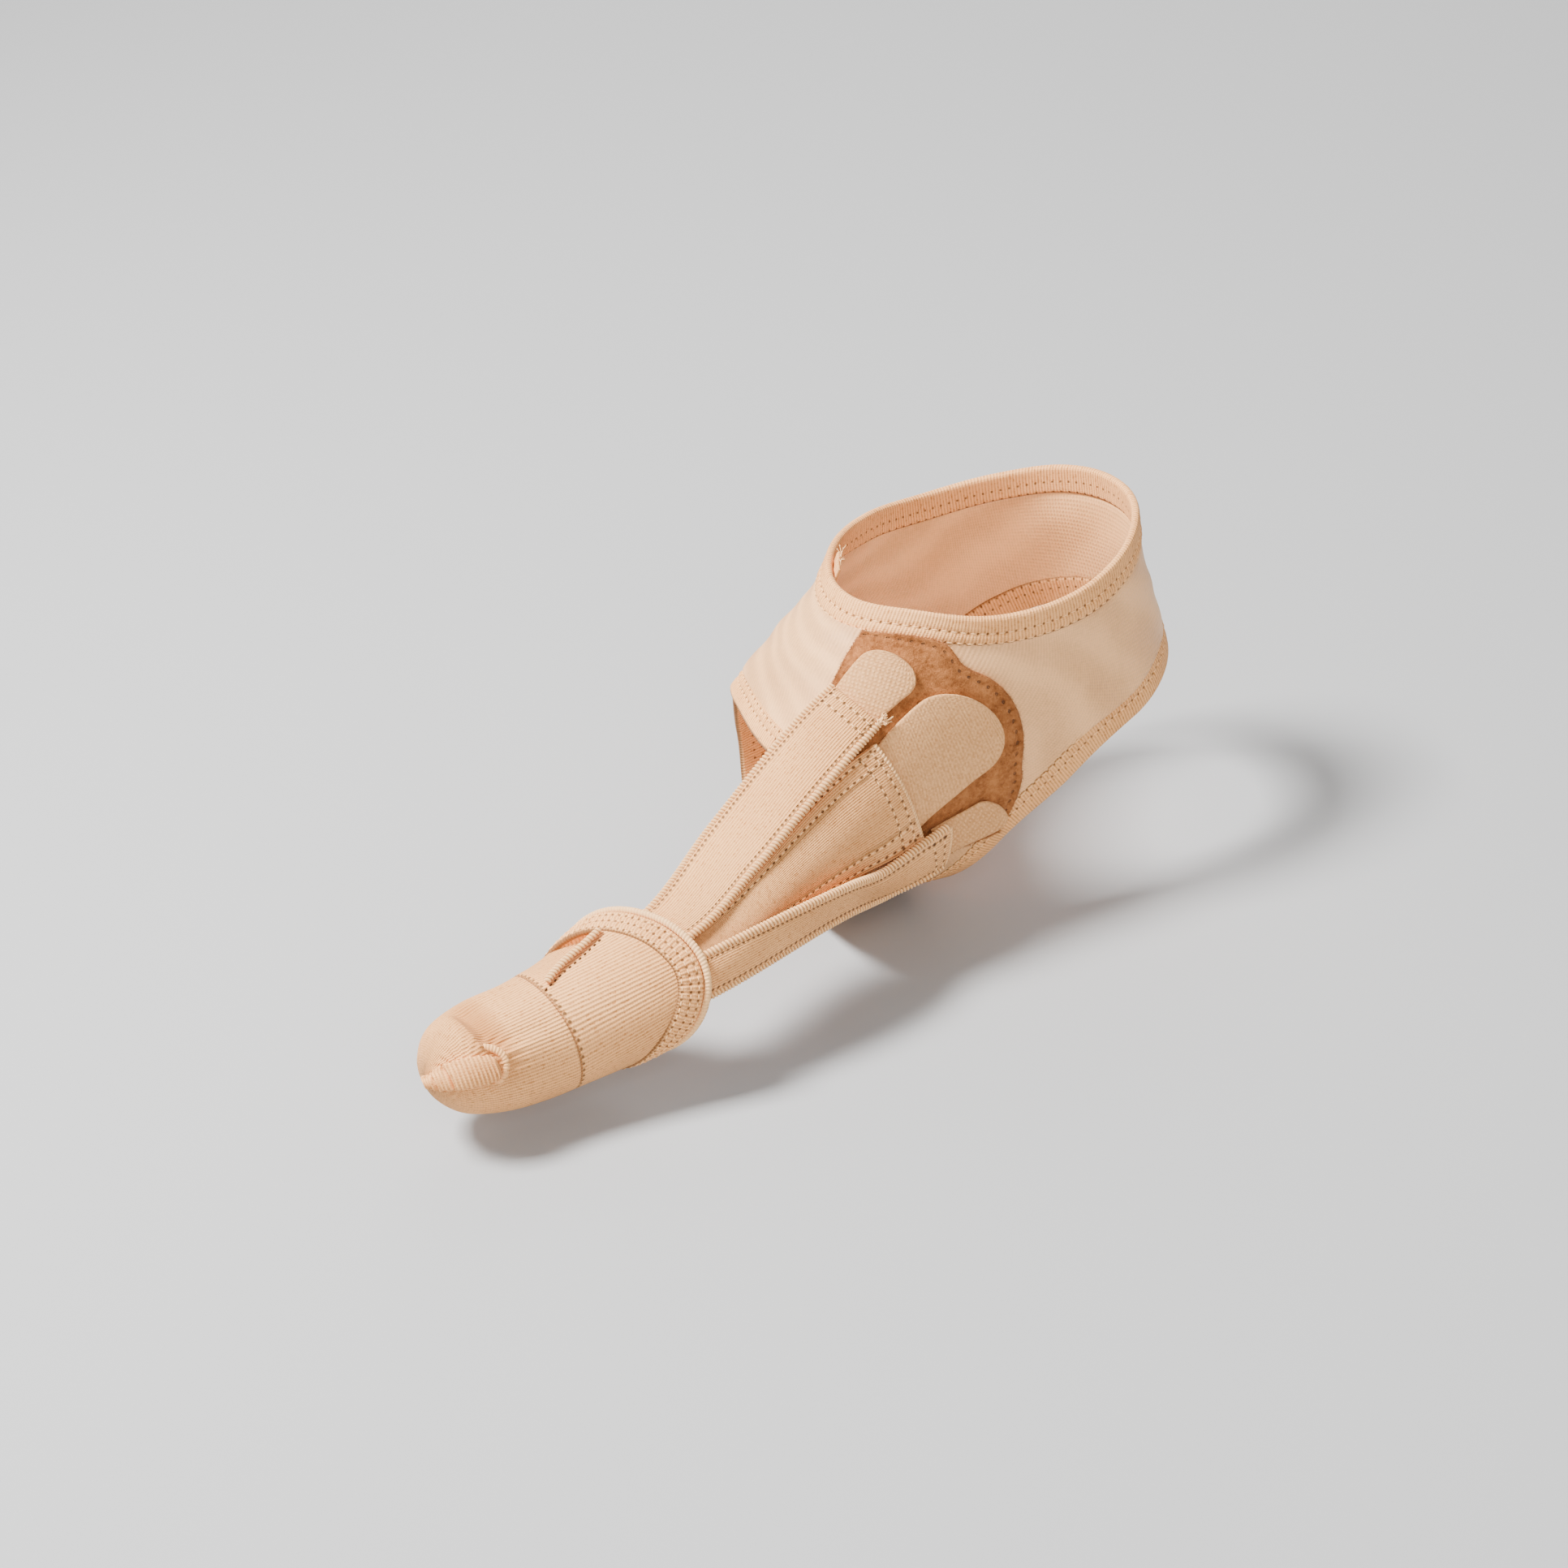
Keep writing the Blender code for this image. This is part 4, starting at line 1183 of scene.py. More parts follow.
def make_felt_pad():
    last = len(PAD_OUTLINE) - 1
    angle, front, rear = read_table(PAD_OUTLINE, np.linspace(0, last, 120))
    share = spread(40 * MM, 0.7 * MM, FELT_WALL / 2)
    station = front + (rear - front) * share[:, None]
    base = lifted("foot", station, angle[None, :], WRAP_WALL + GAP)
    normal = outward("foot", station, angle[None, :])
    middle = len(share) // 2
    across = reach_along(base[middle])
    along = reach_along(base[:, base.shape[1] // 2])
    piece = sheet("felt_pad_cloth", base, normal, along, across, FELT_WALL,
                  groove(along, (along[-1] - PAD_SEAM,), 0.35 * MM, 0.8 * MM)[:, None])
    finish = felt("brushed_felt", rows=(("v", along[-1] - PAD_SEAM),))
    as_cloth(dress(piece, finish, "felt", "felt_pad"))


make_felt_pad()


# %% [markdown]
# ## Fuzz on the felt
# Felt has no smooth outline: single fibres stand off it, most of all along its cut rim. Each fibre is a
# spike with four faces, and a seeded generator spreads them, so that the same ones come each time. Hair
# would look finer, but it is no mesh, and an export would lose it.

# %% Loose fibres of the felt
FIBRES = 5200
FIBRE_SEED = 5
FIBRE_RADIUS = 0.055 * MM
SHORTEST_FIBRE = 0.35
LONGEST_FIBRE = 0.95
SHARE_ON_RIM = 0.45


def make_fibres():
    """Short thin spikes that stand off the felt, thickest along its rim."""
    chance = np.random.default_rng(FIBRE_SEED)
    data = SHEETS["felt_pad_cloth"]
    outer, normal = data["outer"], data["normal"]
    rows, columns = outer.shape[:2]
    row = chance.integers(0, rows, FIBRES)
    column = chance.integers(0, columns, FIBRES)
    rim = chance.random(FIBRES) < SHARE_ON_RIM
    side = chance.integers(0, 3, FIBRES)
    row = np.where(rim & (side == 0), rows - 1 - chance.integers(0, 3, FIBRES), row)
    column = np.where(rim & (side == 1), chance.integers(0, 3, FIBRES), column)
    column = np.where(rim & (side == 2), columns - 1 - chance.integers(0, 3, FIBRES), column)
    lean = chance.normal(0, 0.75, (FIBRES, 3))
    direction = unit(normal[row, column] + lean)
    root = outer[row, column] + chance.normal(0, 0.15 * MM, (FIBRES, 3)) - direction * 0.1 * MM
    reach = chance.uniform(SHORTEST_FIBRE, LONGEST_FIBRE, FIBRES)[:, None] * MM
    across = unit(np.cross(direction, (0.3, 0.5, 0.8)))
    other = np.cross(direction, across)
    thick = FIBRE_RADIUS
    corners = [root + thick * across, root + thick * (0.87 * other - 0.5 * across),
               root - thick * (0.87 * other + 0.5 * across), root + direction * reach]
    points = np.stack(corners, 1).reshape(-1, 3)
    first = 4 * np.arange(FIBRES)[:, None, None]
    faces = (first + np.array(((0, 1, 3), (1, 2, 3), (2, 0, 3), (0, 2, 1)))).reshape(-1, 3)
    fibres = new_piece("felt_pad_fibres", points, faces.tolist(), [np.zeros((len(faces), 3, 2))])
    colour = Finish("felt_fibre", roughness=0.9)
    colour.paint(FELT_LIGHT)
    dress(fibres, colour.material, "felt")
    print("felt fibres:", FIBRES)


make_fibres()


# %% [markdown]
# ## Hook tabs
# A tab is a strip of tape with a round tip, pressed flat on the felt. It is a sheet whose rows get narrower
# by a quarter turn towards the tip, and its hidden end lies below its strap.

# %% Hook tabs
def tab_lift():
    return WRAP_WALL + GAP + FELT_WALL + GAP


def make_tab(name, start, bend, tip, start_mid, start_half, tip_mid, tip_half):
    """Tape that runs from under its strap to a round tip."""
    straight = np.linspace(start, bend, 34)[:-1]
    turn = np.linspace(0, 0.485 * math.pi, 24)
    round_part = bend + (tip - bend) * np.sin(turn) / math.sin(turn[-1])
    station = np.concatenate((straight, round_part))
    width = np.concatenate((np.ones(len(straight)), np.cos(turn)))
    part = (station - start) / (tip - start)
    middle = start_mid + (tip_mid - start_mid) * part
    half = (start_half + (tip_half - start_half) * part) * width
    size = 2 * start_half * DEGREE_LENGTH * MM
    share = spread(size, 0.6 * MM, TAB_WALL / 2) * 2 - 1
    angle = middle[:, None] + half[:, None] * share
    base = lifted("foot", station[:, None], angle, tab_lift())
    normal = outward("foot", station[:, None], angle)
    along = reach_along(base[:, len(share) // 2])
    piece = sheet(name + "_tape", base, normal, along, (share + 1) / 2 * size, TAB_WALL)
    finish = hook_tape(name + "_hooks", woven=name == "middle_tab")
    as_cloth(dress(piece, finish, "hook_tape", name))


for tab_name, tab_row in TABS.items():
    make_tab(tab_name, *tab_row)

# %% [markdown]
# ## Straps
# Each strap is an elastic ribbon that starts inside the toe pocket's mouth and ends over its tab. It leaves
# the pocket and reaches the wrap through free air, so it isn't laid on a form: it is a smooth run through a
# few sections, each a line across the strap that is given at its two edges. The upper and the lower strap
# have overlocked raw edges, so each carries two rolled cords. The broad middle strap has folded borders
# instead, sewn down with two rows of stitches.

# %% A ribbon through its sections
def strap_lift(form, layers):
    """Height of a strap's inner face above its form, with so many straps below it."""
    if form == "toe":
        return -CAP_WALL - MOUTH_SLACK + layers * (STRAP_WALL + GAP)
    return tab_lift() + TAB_WALL + GAP + layers * (STRAP_WALL + GAP)


def strap_points(name, along, across):
    """Grid of a strap's inner face at shares along and across it, and its length."""
    sections = []
    for form, *edges in STRAPS[name]:
        upper_edge = np.array(edges[:3])
        lower_edge = np.array(edges[3:])
        places = upper_edge + (lower_edge - upper_edge) * across[:, None]
        station, angle, layers = np.moveaxis(places, -1, 0)
        sections.append(lifted(form, station, angle, strap_lift(form, layers)))
    sections = np.array(sections)
    reach = reach_along(sections[:, len(across) // 2])
    slope = np.gradient(sections, reach, axis=0)
    place = along * reach[-1]
    index = np.clip(np.searchsorted(reach, place, side="right") - 1, 0, len(reach) - 2)
    span = (reach[index + 1] - reach[index])[:, None, None]
    part = ((place - reach[index]) / (reach[index + 1] - reach[index]))[:, None, None]
    grid = ((1 + 2 * part) * (1 - part)**2 * sections[index]
            + part * (1 - part)**2 * span * slope[index]
            + part**2 * (3 - 2 * part) * sections[index + 1]
            + part**2 * (part - 1) * span * slope[index + 1])
    return grid, reach[-1]


def step_up(measure, start, end, soft=0.35 * MM):
    """1 between two measures, with soft edges."""
    rise = np.clip((measure - start) / soft, 0, 1)
    fall = np.clip((end - measure) / soft, 0, 1)
    return np.minimum(rise, fall)


_points, strap_length = strap_points("upper_strap", np.linspace(0, 1, 9), np.linspace(0, 1, 3))
print("upper strap:", round(strap_length / MM), "mm from the cuff to its end")


# %% Relief and finish of a strap
STRAP_RIB = 0.7 * MM
STRAP_WIDTHS = {"upper_strap": 15.5 * MM, "middle_strap": 30 * MM, "lower_strap": 10.5 * MM}
END_ROWS = (2.0 * MM, 5.0 * MM)
BORDER_ROWS = (1.8 * MM, 5.2 * MM)
BORDER = 6.2 * MM
BORDER_RISE = 0.35 * MM
PRESS = 0.22 * MM
PRESS_WIDTH = 0.5 * MM
EDGE_OVERLAP = 0.7 * MM


def border_relief(end, columns, width, end_rows, side_rows):
    """Height of the folded borders, pressed in along each row of stitches."""
    raised = step_up(end, 0.0, end_rows[-1] + 1.2 * MM)
    if side_rows:
        sides = np.maximum(step_up(columns, 0.0, BORDER), step_up(columns, width - BORDER, width))
        raised = np.maximum(raised, sides[None, :])
    relief = BORDER_RISE * raised * np.ones((1, len(columns)))
    for place in end_rows:
        relief = relief - PRESS * np.exp(-((end - place) / PRESS_WIDTH)**2)
    for place in side_rows:
        relief = relief - PRESS * np.exp(-((columns - place) / PRESS_WIDTH)**2)[None, :]
    return relief


def strap_finish(name, width, length, end_rows, side_rows):
    """Ribbed knit with the needle holes of a strap's rows."""
    holes = [("v", length - place) for place in end_rows] + [("u", place) for place in side_rows]
    seams = [("u", BORDER), ("u", width - BORDER)] if side_rows else []
    # The needle holes beside the cords are painted dark, as shade beside the cords
    if not side_rows:
        beside_cords = (EDGE_OVERLAP + 0.35 * MM, width - EDGE_OVERLAP - 0.35 * MM)
        holes += [("u", place, 1.5 * MM) for place in beside_cords]
    return ribbed(name + "_knit", pitch=STRAP_RIB, rows=holes, seams=seams, depth=0.22 * MM, hole=0.42 * MM,
                  seam_share=0.35)


# %% Straps
def make_strap(name):
    width = STRAP_WIDTHS[name]
    along = spread(95 * MM, 0.8 * MM, STRAP_WALL / 2)
    across = spread(width, 0.4 * MM, STRAP_WALL / 2)
    grow = 0.0 if name == "middle_strap" else EDGE_OVERLAP / width
    base, length = strap_points(name, along, across * (1 + 2 * grow) - grow)
    normal = unit(np.cross(np.gradient(base, axis=1), np.gradient(base, axis=0)))
    rows, columns = along * length, across * width
    end = (length - rows)[:, None]
    end_rows, side_rows = END_ROWS, []
    if name == "middle_strap":
        end_rows = BORDER_ROWS
        side_rows = [*BORDER_ROWS, *(width - place for place in BORDER_ROWS)]
    relief = border_relief(end, columns, width, end_rows, side_rows)
    piece = sheet(name + "_ribbon", base, normal, rows, columns, STRAP_WALL, relief)
    finish = strap_finish(name, width, length, end_rows, side_rows)
    as_cloth(dress(piece, finish, "strap_knit", name))
    lines = [line_on(piece.name, row=length - place) for place in end_rows]
    lines += [line_on(piece.name, column=place) for place in side_rows]
    dress(stitches(name + "_stitches", lines), SEWING_THREAD, "overlock")
    return base, normal


# %% [markdown]
# ## Rolled edges of the straps
# The cords lie just outside the ribbon's long edges, and the ribbon reaches a little under them, so that no
# light comes through between the two. The free ends of the middle and the lower strap have a thinner cord,
# and at the upper strap's end the threads of its lower cord hang loose.

# %% Rolled edges of the straps
CORD_RADIUS = 1.2 * MM
END_CORD_RADIUS = 0.85 * MM
CORD_RISE = 0.15 * MM
CORD_PITCH = 1.0 * MM
CORD_STEP = 0.15 * MM


def add_end_edge(name, base, normal):
    """Thin overlocked edge across the free end."""
    line = base[-1] + normal[-1] * STRAP_WALL * 0.6
    edge = tube(name + "_overlock_end", line, normal[-1], END_CORD_RADIUS, step=CORD_STEP, ridge=0.10,
                pitch=CORD_PITCH, taper=0.5 * MM)
    dress(edge, thread(name + "_overlock_end_thread", shade=0.5), "overlock")


def add_strap_edges(name):
    """Overlocked cords along both edges, where their solids lie."""
    base, _length = strap_points(name, np.linspace(0, 1, 80), np.linspace(0, 1, 7))
    for edge, column, inside in (("top", 0, 1), ("low", -1, -2)):
        line = base[:, column]
        along = unit(np.gradient(line, axis=0))
        sideways = line - base[:, inside]
        sideways = unit(sideways - along * np.sum(sideways * along, axis=-1, keepdims=True))
        facing = unit(np.cross(base[:, -1] - base[:, 0], along))
        centre = line + sideways * (STRAP_EDGE_RADIUS + GAP) + facing * (STRAP_WALL / 2 + CORD_RISE)
        cord = tube(f"{name}_overlock_{edge}", centre, facing, CORD_RADIUS, step=CORD_STEP, ridge=0.13,
                    pitch=CORD_PITCH, squash=0.95, taper=0.8 * MM)
        dress(cord, thread(f"{name}_overlock_{edge}_thread"), "overlock", f"{name}_edge_{edge}")
        if edge == "low" and name == "upper_strap":
            ahead = unit(centre[-1] - centre[-3])
            starts = [centre[-1] + facing[-1] * 0.5 * MM, centre[-1] - sideways[-1] * 0.7 * MM,
                      centre[-1] + sideways[-1] * 0.6 * MM, centre[-2] + facing[-1] * 0.8 * MM]
            direction = ahead + 0.35 * sideways[-1]
            tuft = fray(name + "_fray", starts, direction, length=3.0 * MM, count=22, spread_out=1.3 * MM,
                        radius=0.19 * MM)
            dress(tuft, SEWING_THREAD, "overlock")


for strap_name in STRAPS:
    strap_base, strap_normal = make_strap(strap_name)
    if strap_name != "middle_strap":
        add_strap_edges(strap_name)
    if strap_name != "upper_strap":
        add_end_edge(strap_name, strap_base, strap_normal)

# %% [markdown]
# ## The toe pocket
# The pocket is a cap at its front and a cuff behind it, joined by a seam. A fold lies across the cap's
# tip, where the knit is drawn in, and small pleats run towards the seam that closes it. The folds are
# heights worked out over the cap's grid, which keeps them exactly where the real ones are. Sculpting them
# by hand would do as well, but couldn't be repeated. The shade behind the fold on the tip is painted into
# the knit's colour.

# %% Folds and pleats of the toe cap
CREASE_STATION = 2.46
CREASE_DEPTH = 3.2 * MM
CREASE_BULGE = 1.3 * MM
PLEATS = 26
PLEAT_HEIGHT = 0.22 * MM
LIP_LINE = ((2.50, 38.0), (2.80, 48.0), (2.97, 60.0), (2.95, 72.0), (2.78, 82.0), (2.50, 85.0))
LIP_RISE = 0.6 * MM


def seam_station(angle):
    """Station of the seam between cap and cuff."""
    return CAP_SEAM - CAP_SEAM_SWING * np.cos(np.radians(angle))


def tip_crease(station, angle):
    """Height of the fold over the tip: a bulge, a steep fall behind it, and a slow rise."""
    beyond = station - (CREASE_STATION + 0.0027 * angle)
    window = np.clip(3 * (1 - np.abs(angle - 20) / 40), 0, 1)
    after = np.maximum(beyond, 0)
    fall = (1 - np.exp(-after / 0.18)) * np.exp(-after / 0.75)
    bulge = np.exp(-(np.minimum(beyond, 0) / 0.45)**2) * np.exp(-(after / 0.15)**2)
    return window * (CREASE_BULGE * bulge - CREASE_DEPTH * fall)


def tip_pleats(station, angle):
    """Small pleats that run towards the gathered seam on the tip."""
    ahead = station - 1.9
    aside = ((angle - 64 + 180) % 360 - 180) / 28
    turn = np.arctan2(ahead, aside)
    reach = np.hypot(ahead, aside)
    near = np.exp(-((reach - 1.15) / 0.45)**2)
    return PLEAT_HEIGHT * near * np.cos(PLEATS * turn)


def tip_lip(points):
    """Raised lip of cloth round the end of the gathered seam."""
    place = np.linspace(0, len(LIP_LINE) - 1, 40)
    line = lifted("toe", *read_table(LIP_LINE, place), 0.0)
    height = np.minimum(1, 2 * np.minimum(place, place[-1] - place))
    distance = np.linalg.norm(points[..., None, :] - line, axis=-1)
    return LIP_RISE * np.max(height * np.exp(-(distance / (1.0 * MM))**2), axis=-1)


across_fold = tip_crease(np.linspace(2, 4, 99), 20.0)
print("the fold goes down", round(float(-across_fold.min() / MM), 1), "mm")


# %% Toe cap
CAP_RIB = 0.85 * MM
CAP_COLUMNS = 230
CAP_ROWS = 140

# Painted shade behind the fold on the tip: columns past the middle one, distance past the drawn-in row,
# half sizes, strength
CREASE_PAINTED_SHADE = (13, 3.6 * MM, 17 * MM, 5.6 * MM, 0.85)


def make_toe_cap(columns, rows):
    angle = np.linspace(-180, 180, columns, endpoint=False)
    share = (np.linspace(0, 1, rows)**1.15)[:, None]
    end = shift("toe", seam_station(angle), angle, 0.3 * MM)
    station = 0.02 + (end - 0.02) * share
    base = lifted("toe", station, angle[None, :], -CAP_WALL)
    normal = outward("toe", station, angle[None, :])
    girth = reach_along(np.concatenate((base[-30], base[-30, :1])))
    along = reach_along(base[:, columns // 2])
    crease = tip_crease(station, angle[None, :])
    relief = crease + tip_pleats(station, angle[None, :]) + tip_lip(base + normal * CAP_WALL)
    piece = sheet("toe_cap_knit", base, normal, along, girth, CAP_WALL, relief, loop=True, tip=True,
                  lining=crease)
    drawn_in = np.interp(CREASE_STATION, station[:, columns // 2], along)
    # Painted shade behind the fold on the tip, where the bulge shades the knit
    aside, ahead, half_u, half_v, strength = CREASE_PAINTED_SHADE
    painted_shades = ((girth[columns // 2 + aside], half_u, drawn_in + ahead, half_v, strength),)
    finish = ribbed("toe_cap_ribs", pitch=girth[-1] / round(girth[-1] / CAP_RIB), depth=0.26 * MM,
                    seams=(("v", along[-1]),), seam_share=0.4, painted_shades=painted_shades)
    as_cloth(dress(piece, finish, "strap_knit", "toe_cap"))


make_toe_cap(CAP_COLUMNS, CAP_ROWS)


# %% [markdown]
# ## The gathered seam
# A short strip of knit closes the cap's tip. It is gathered across, with two deeper folds, and the cap ends
# round it in a raised lip. The strip is one more sheet on the pocket's form, and the lip is a smooth tube
# sunk half into the cap.

# %% Gathered seam on the tip
# Columns: station, angle of the middle, half width in degrees
GATHER = (
    (0.30, 62.0, 48.0),
    (0.60, 62.0, 27.0),
    (1.20, 60.0, 22.0),
    (2.00, 63.0, 19.0),
    (2.60, 67.0, 15.0),
    (2.80, 68.0, 9.0),
)
GATHER_RIB = 0.95 * MM
GATHER_RIB_RISE = 0.16 * MM
GATHER_RISE = 0.45 * MM
GATHER_FOLDS = (5.0 * MM, 9.3 * MM)
FOLD_RISE = 0.45 * MM
FOLD_GROOVE = 1.25 * MM
LIP_RADIUS = 1.0 * MM


def make_tip_seam():
    station, middle, half = read_table(GATHER, np.linspace(0, len(GATHER) - 1, 130))
    share = np.linspace(-1, 1, 31)
    straight = lifted("toe", station, middle, 0.0)
    along = reach_along(straight)
    half = half * (1 + 0.05 * np.cos(2 * math.pi * along / (1.9 * MM)))
    angle = middle[:, None] + half[:, None] * share
    base = lifted("toe", station[:, None], angle, 0.0)
    across = reach_along(base[len(base) // 2])
    slanted = along[:, None] + 0.7 * MM * share[None, :]**2 - 0.5 * MM * share[None, :]
    ribs = GATHER_RIB_RISE * np.cos(2 * math.pi * slanted / GATHER_RIB)
    height = GATHER_RISE * (1 - share**2)[None, :] + ribs
    for place in GATHER_FOLDS:
        beyond = slanted - place
        height = height + FOLD_RISE * np.where(beyond > 0, np.exp(-beyond / (2.4 * MM)), 0.0)
        height = height - FOLD_GROOVE * np.exp(-((beyond + 0.25 * MM) / (0.42 * MM))**2)
    normal = outward("toe", station[:, None], angle)
    piece = sheet("tip_seam_gather", base, normal, along, across, SEAM_WALL + GAP, height)
    finish = ribbed("tip_seam_knit", pitch=GATHER_RIB, ribs_across=False, depth=0.15 * MM)
    as_cloth(dress(piece, finish, "overlock", "tip_seam"))
    lip_station, lip_angle = read_table(LIP_LINE, np.linspace(0, len(LIP_LINE) - 1, 50))
    line = lifted("toe", lip_station, lip_angle, -0.2 * MM)
    facing = outward("toe", lip_station, lip_angle)
    lip = tube("tip_seam_lip", line, facing, LIP_RADIUS, ridge=0.02, taper=3.5 * MM)
    dress(lip, thread("tip_seam_lip_knit", shade=0.25, light=KNIT), "overlock")


make_tip_seam()

# %% [markdown]
# ## The cuff
# The cuff panel carries the straps. Its ribs run along the pocket, and on its upper side it has a hollow
# beside its overlocked edge, where the knit gapes. A table gives that edge, and the hollow is a half wave
# that deepens towards the mouth.

# %% Cuff panel
CUFF_RIB = 1.0 * MM
GUSSET_DEPTH = 3.0 * MM
GUSSET_START = 4.0
GUSSET_SPAN = 50.0
GUSSET_FADE = 0.9
CUFF_COLUMNS = 210
CAP_SEAM_HOLES = ("v", 0.7 * MM, 2.0 * MM)


def gusset(station, angle):
    """Depth of the hollow beside the cuff panel's overlocked edge."""
    table = np.array(SIDE_EDGE)[::-1]
    edge = np.interp(station, table[:, 0], table[:, 1])
    beyond = np.clip((edge - GUSSET_START - angle) / GUSSET_SPAN, 0, 1)
    opening = np.clip((station - table[0, 0]) / GUSSET_FADE, 0, 1)
    return GUSSET_DEPTH * np.sin(math.pi * beyond**0.6) * opening


def make_cuff_panel(columns):
    angle = np.linspace(-180, 180, columns, endpoint=False)
    rim = around(CUFF_RIM, angle)
    end, end_angle = beside("toe", rim, angle, CUFF_HEM_WIDTH - 0.6 * MM)
    share = spread(22 * MM, 0.5 * MM, CAP_WALL / 2)[:, None]
    start = shift("toe", seam_station(angle), angle, 0.0)
    station = start + (end - start) * share
    turned = angle + (end_angle - angle) * share
    depth = gusset(station, turned)
    base = lifted("toe", station, turned, -CAP_WALL)
    normal = outward("toe", station, turned)
    girth = reach_along(np.concatenate((base[len(base) // 2], base[len(base) // 2, :1])))
    along = reach_along(base[:, columns // 4 * 3])
    piece = sheet("cuff_panel_knit", base, normal, along, girth, CAP_WALL, -depth, loop=True, lining=-depth)
    finish = ribbed("cuff_panel_ribs", pitch=girth[-1] / round(girth[-1] / CUFF_RIB), depth=0.22 * MM,
                    rows=(CAP_SEAM_HOLES,), seams=(("v", 0.0),), hole=0.45 * MM, seam_share=0.4)
    as_cloth(dress(piece, finish, "strap_knit", "cuff_panel"))


make_cuff_panel(CUFF_COLUMNS)

# %% [markdown]
# ## Hem and piping
# The pocket's mouth is bound with a hem that three rows of stitches hold, and a thin rolled piping closes
# its rim. The hem is made as the wrap's bindings are. The piping is a closed tube, a radius beyond the rim.

# %% Cuff hem and piping
HEM_GROOVES = (1.0 * MM, 3.2 * MM, 5.2 * MM)
HEM_PITCH = 1.9 * MM


def make_cuff_hem():
    angle = np.linspace(-180, 180, 220, endpoint=False)
    rim = around(CUFF_RIM, angle)

    def hem_line(share):
        return beside("toe", rim, angle, CUFF_HEM_WIDTH * (1 - share))

    piece, pitch = band("cuff_hem_band", "toe", hem_line, CUFF_HEM_WIDTH, HEM_WALL, -CAP_WALL, HEM_GROOVES,
                        HEM_PITCH)
    finish = ribbed("cuff_hem_knit", pitch=0.85 * MM, rows=[("v", place) for place in HEM_GROOVES],
                    hole_pitch=pitch, seams=(("v", 0.1 * MM),), depth=0.14 * MM)
    as_cloth(dress(piece, finish, "binding", "cuff_hem"))
    lines = [line_on("cuff_hem_band", row=place) for place in HEM_GROOVES]
    sewn = stitches("cuff_hem_stitches", lines, pitch=pitch, length=STITCH_SHARE * pitch, start=0.0,
                    radius=BAND_STITCH_RADIUS)
    dress(sewn, SEWING_THREAD, "overlock")
    beyond, beyond_angle = beside("toe", rim, angle, -PIPING_RADIUS)
    line = lifted("toe", beyond, beyond_angle, HEM_WALL / 2 - CAP_WALL)
    facing = outward("toe", beyond, beyond_angle)
    piping = tube("cuff_piping_roll", line, facing, PIPING_RADIUS * 0.9, ridge=0.03, pitch=0.9 * MM,
                  loop=True)
    dress(piping, thread("cuff_piping_thread", shade=0.3), "overlock", "cuff_piping")


make_cuff_hem()


# %% [markdown]
# ## The overlocked edge on the cuff
# The cuff panel is joined to itself on top of the pocket, with a cord of thread over the join and a row of
# needle holes beside it. The row slants across the panel's grid, so these holes are small dark capsules on
# a line of their own, painted shade standing for the holes. The material's rows can only run along the grid.

# %% Overlocked edge on the cuff, and the row of needle holes beside it
SIDE_ROW = ((5.95, -3.5), (5.50, -0.5), (4.80, 5.5), (4.45, 11.0), (4.27, 14.0))


def make_side_edge():
    table = np.array(SIDE_EDGE)
    station, angle = read_table(table, np.linspace(0, len(table) - 1, 40))
    line = lifted("toe", station, angle, SIDE_EDGE_RADIUS + GAP)
    facing = outward("toe", station, angle)
    cord = tube("cuff_side_overlock", line, facing, SIDE_EDGE_RADIUS * 1.2, step=CORD_STEP, ridge=0.08,
                pitch=CORD_PITCH, squash=0.8, taper=0.8 * MM)
    dress(cord, thread("cuff_side_overlock_thread"), "overlock", "cuff_side_edge")
    row_station, row_angle = read_table(SIDE_ROW, np.linspace(0, len(SIDE_ROW) - 1, 60))
    points = lifted("toe", row_station, row_angle, 0.05 * MM)
    line = (points, outward("toe", row_station, row_angle), reach_along(points))
    # The needle holes are dark capsules: painted shade where the holes are
    dark = Finish("needle_hole_shade", roughness=0.9)
    dark.paint(SEAM_AND_HOLE_SHADE)
    holes = stitches("cuff_side_holes", [line], pitch=1.7 * MM, length=0.8 * MM, radius=0.28 * MM, dip=0.0)
    dress(holes, dark.material, "overlock")


make_side_edge()

# %% [markdown]
# ## Camera, light and floor
# The camera stands on the inner side of the brace, above it and towards the pocket, a little over a metre
# away with a long lens, so that there is hardly any perspective. It leans a few degrees. Its three directions
# are worked out from its angles, which is easier to correct against a picture than a constraint. Large soft
# lights give the even light of a studio, and the floor is plain and pale.

# %% Camera
CAMERA_AZIMUTH = math.radians(-27.0)
CAMERA_HEIGHT = math.radians(30.0)
CAMERA_LEAN = math.radians(-7.0)
CAMERA_DISTANCE = 1.1
CAMERA_TARGET = np.array((-66.7, -5.0, 45.9)) * MM
FOCAL_PIXELS = 5290.0
PICTURE_WIDTH = 1932.0

back = np.array((math.sin(CAMERA_AZIMUTH) * math.cos(CAMERA_HEIGHT),
                 -math.cos(CAMERA_AZIMUTH) * math.cos(CAMERA_HEIGHT), math.sin(CAMERA_HEIGHT)))
right = np.array((math.cos(CAMERA_AZIMUTH), math.sin(CAMERA_AZIMUTH), 0.0))
above = np.cross(back, right)
leaning_right = right * math.cos(CAMERA_LEAN) + above * math.sin(CAMERA_LEAN)
leaning_up = above * math.cos(CAMERA_LEAN) - right * math.sin(CAMERA_LEAN)
eye = CAMERA_TARGET + back * CAMERA_DISTANCE
lens = bpy.data.cameras.new("camera")
lens.sensor_width = 36.0
lens.lens = FOCAL_PIXELS / PICTURE_WIDTH * lens.sensor_width
lens.clip_start = 0.05
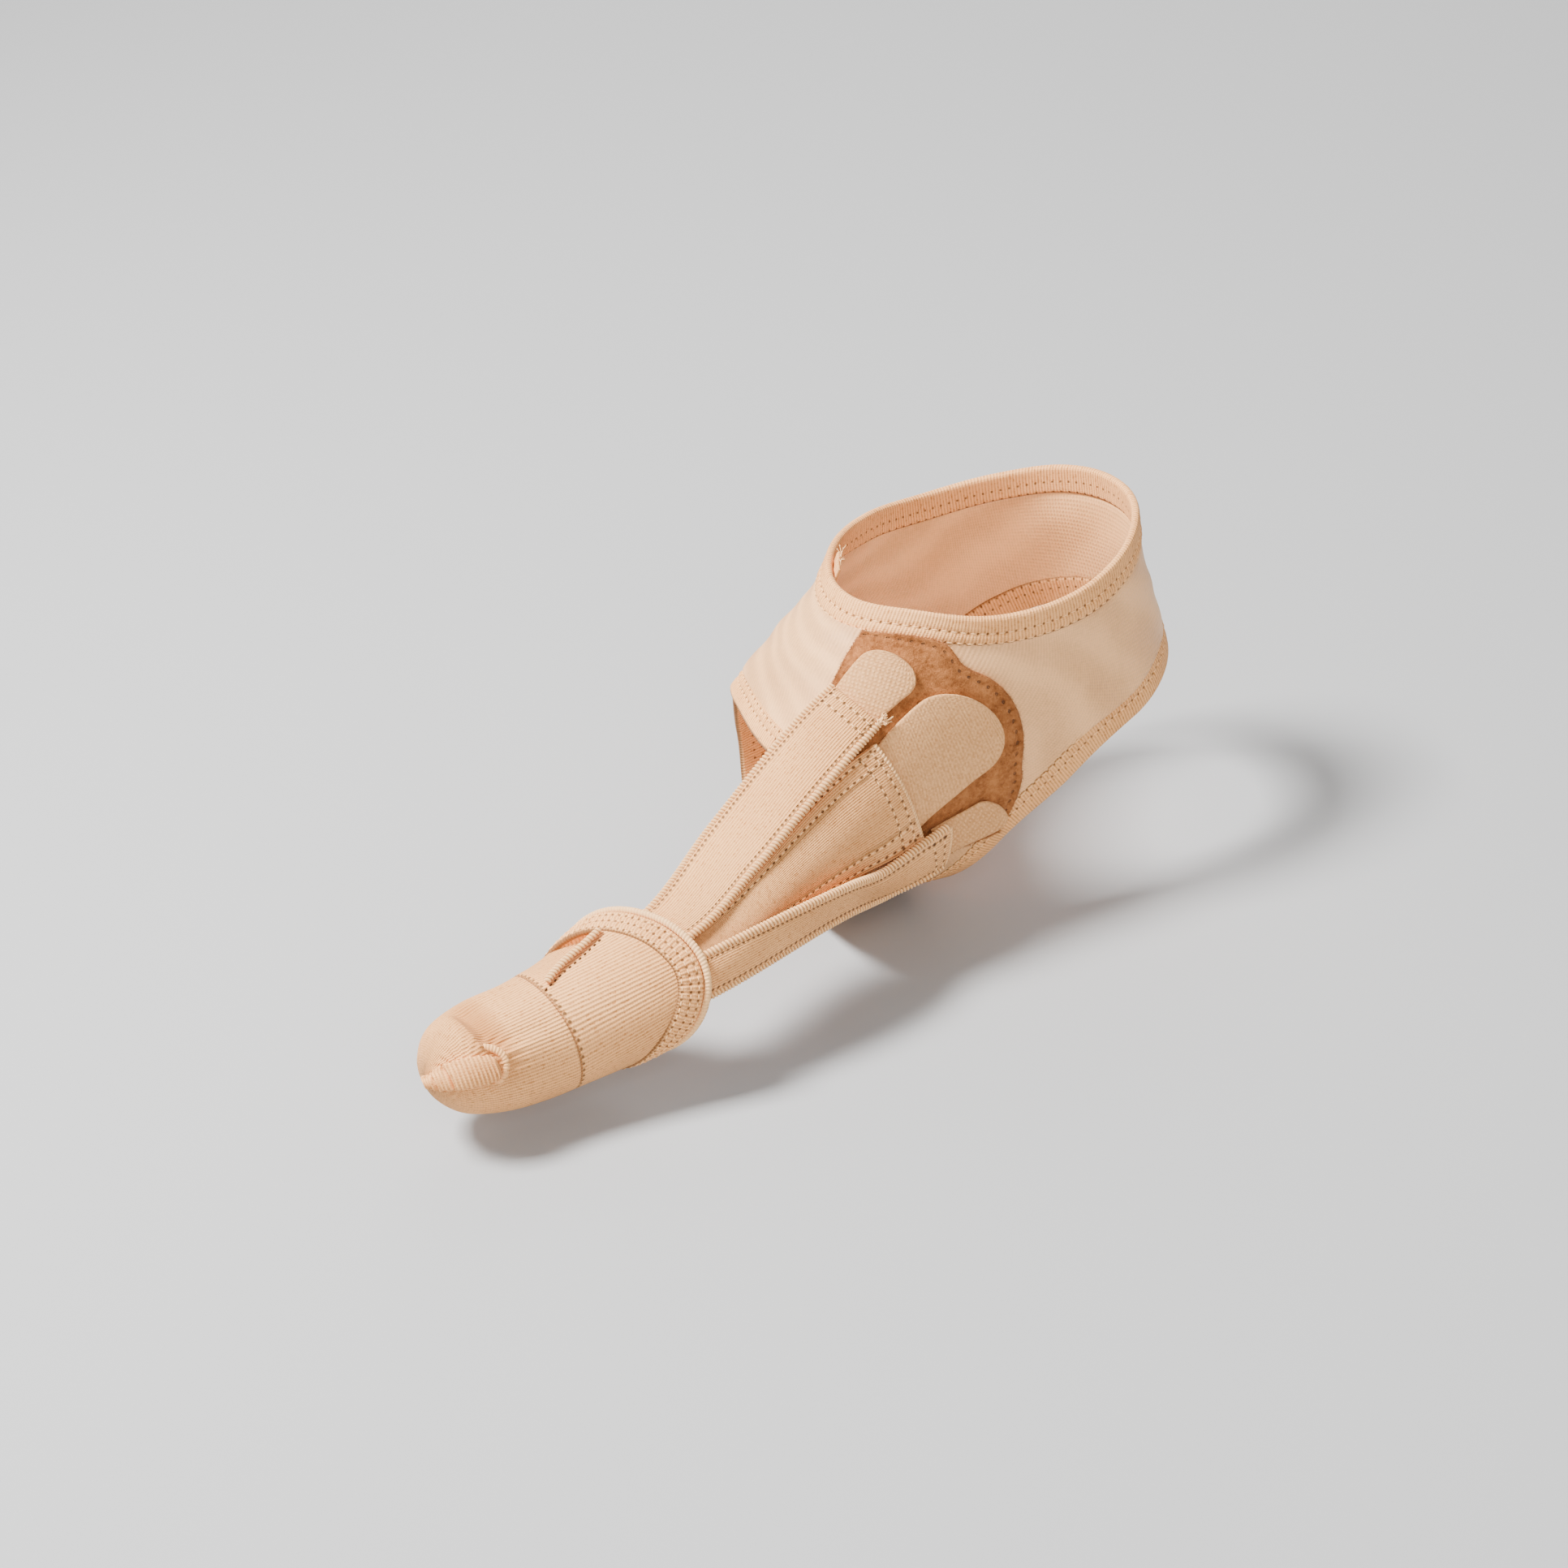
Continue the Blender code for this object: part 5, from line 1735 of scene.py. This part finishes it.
lens.clip_end = 20.0
camera = bpy.data.objects.new("camera", lens)
bpy.context.scene.collection.objects.link(camera)
camera.matrix_world = Matrix(((leaning_right[0], leaning_up[0], back[0], eye[0]),
                              (leaning_right[1], leaning_up[1], back[1], eye[1]),
                              (leaning_right[2], leaning_up[2], back[2], eye[2]),
                              (0.0, 0.0, 0.0, 1.0)))
bpy.context.scene.camera = camera
print("lens:", round(lens.lens, 1), "mm")

# %% Floor
FLOOR_SIZE = 8.0
FLOOR_GREY = (0.40, 0.40, 0.40)
bpy.ops.mesh.primitive_plane_add(size=FLOOR_SIZE, location=(0.0, 0.0, 0.0))
floor = bpy.context.active_object
floor.name = "floor"
floor_finish = Finish("pale_floor", roughness=0.9, sheen=0.0, specular=0.1)
floor_finish.paint(FLOOR_GREY)
floor.data.materials.append(floor_finish.material)
floor.select_set(False)
print("floor:", floor.dimensions[:2])


# %% Lights
def soft_light(name, place, aim, size, power):
    """Square area light that faces a point."""
    data = bpy.data.lights.new(name, "AREA")
    data.shape = "SQUARE"
    data.size = size
    data.energy = power
    light = bpy.data.objects.new(name, data)
    bpy.context.scene.collection.objects.link(light)
    direction = np.array(place) - np.array(aim)
    side = unit(np.cross((0.0, 0.0, 1.0), direction))
    direction = unit(direction)
    upward = np.cross(direction, side)
    turned = np.stack((side, upward, direction), -1)
    light.matrix_world = Matrix([(*row, at) for row, at in zip(turned, place)] + [(0.0, 0.0, 0.0, 1.0)])
    print(f"{name} light: {power} W")


AIM = (-0.07, 0.0, 0.04)
soft_light("key", (-0.6, 0.25, 1.1), AIM, 0.35, 52.0)
soft_light("front", (-0.5, -1.2, 0.8), AIM, 0.8, 13.0)
soft_light("rim", (0.5, 0.9, 0.7), AIM, 0.7, 6.0)

world = bpy.data.worlds.new("studio")
bpy.context.scene.world = world
world.use_nodes = True
world.node_tree.nodes["Background"].inputs["Color"].default_value = (1.0, 1.0, 1.0, 1.0)
world.node_tree.nodes["Background"].inputs["Strength"].default_value = 0.5
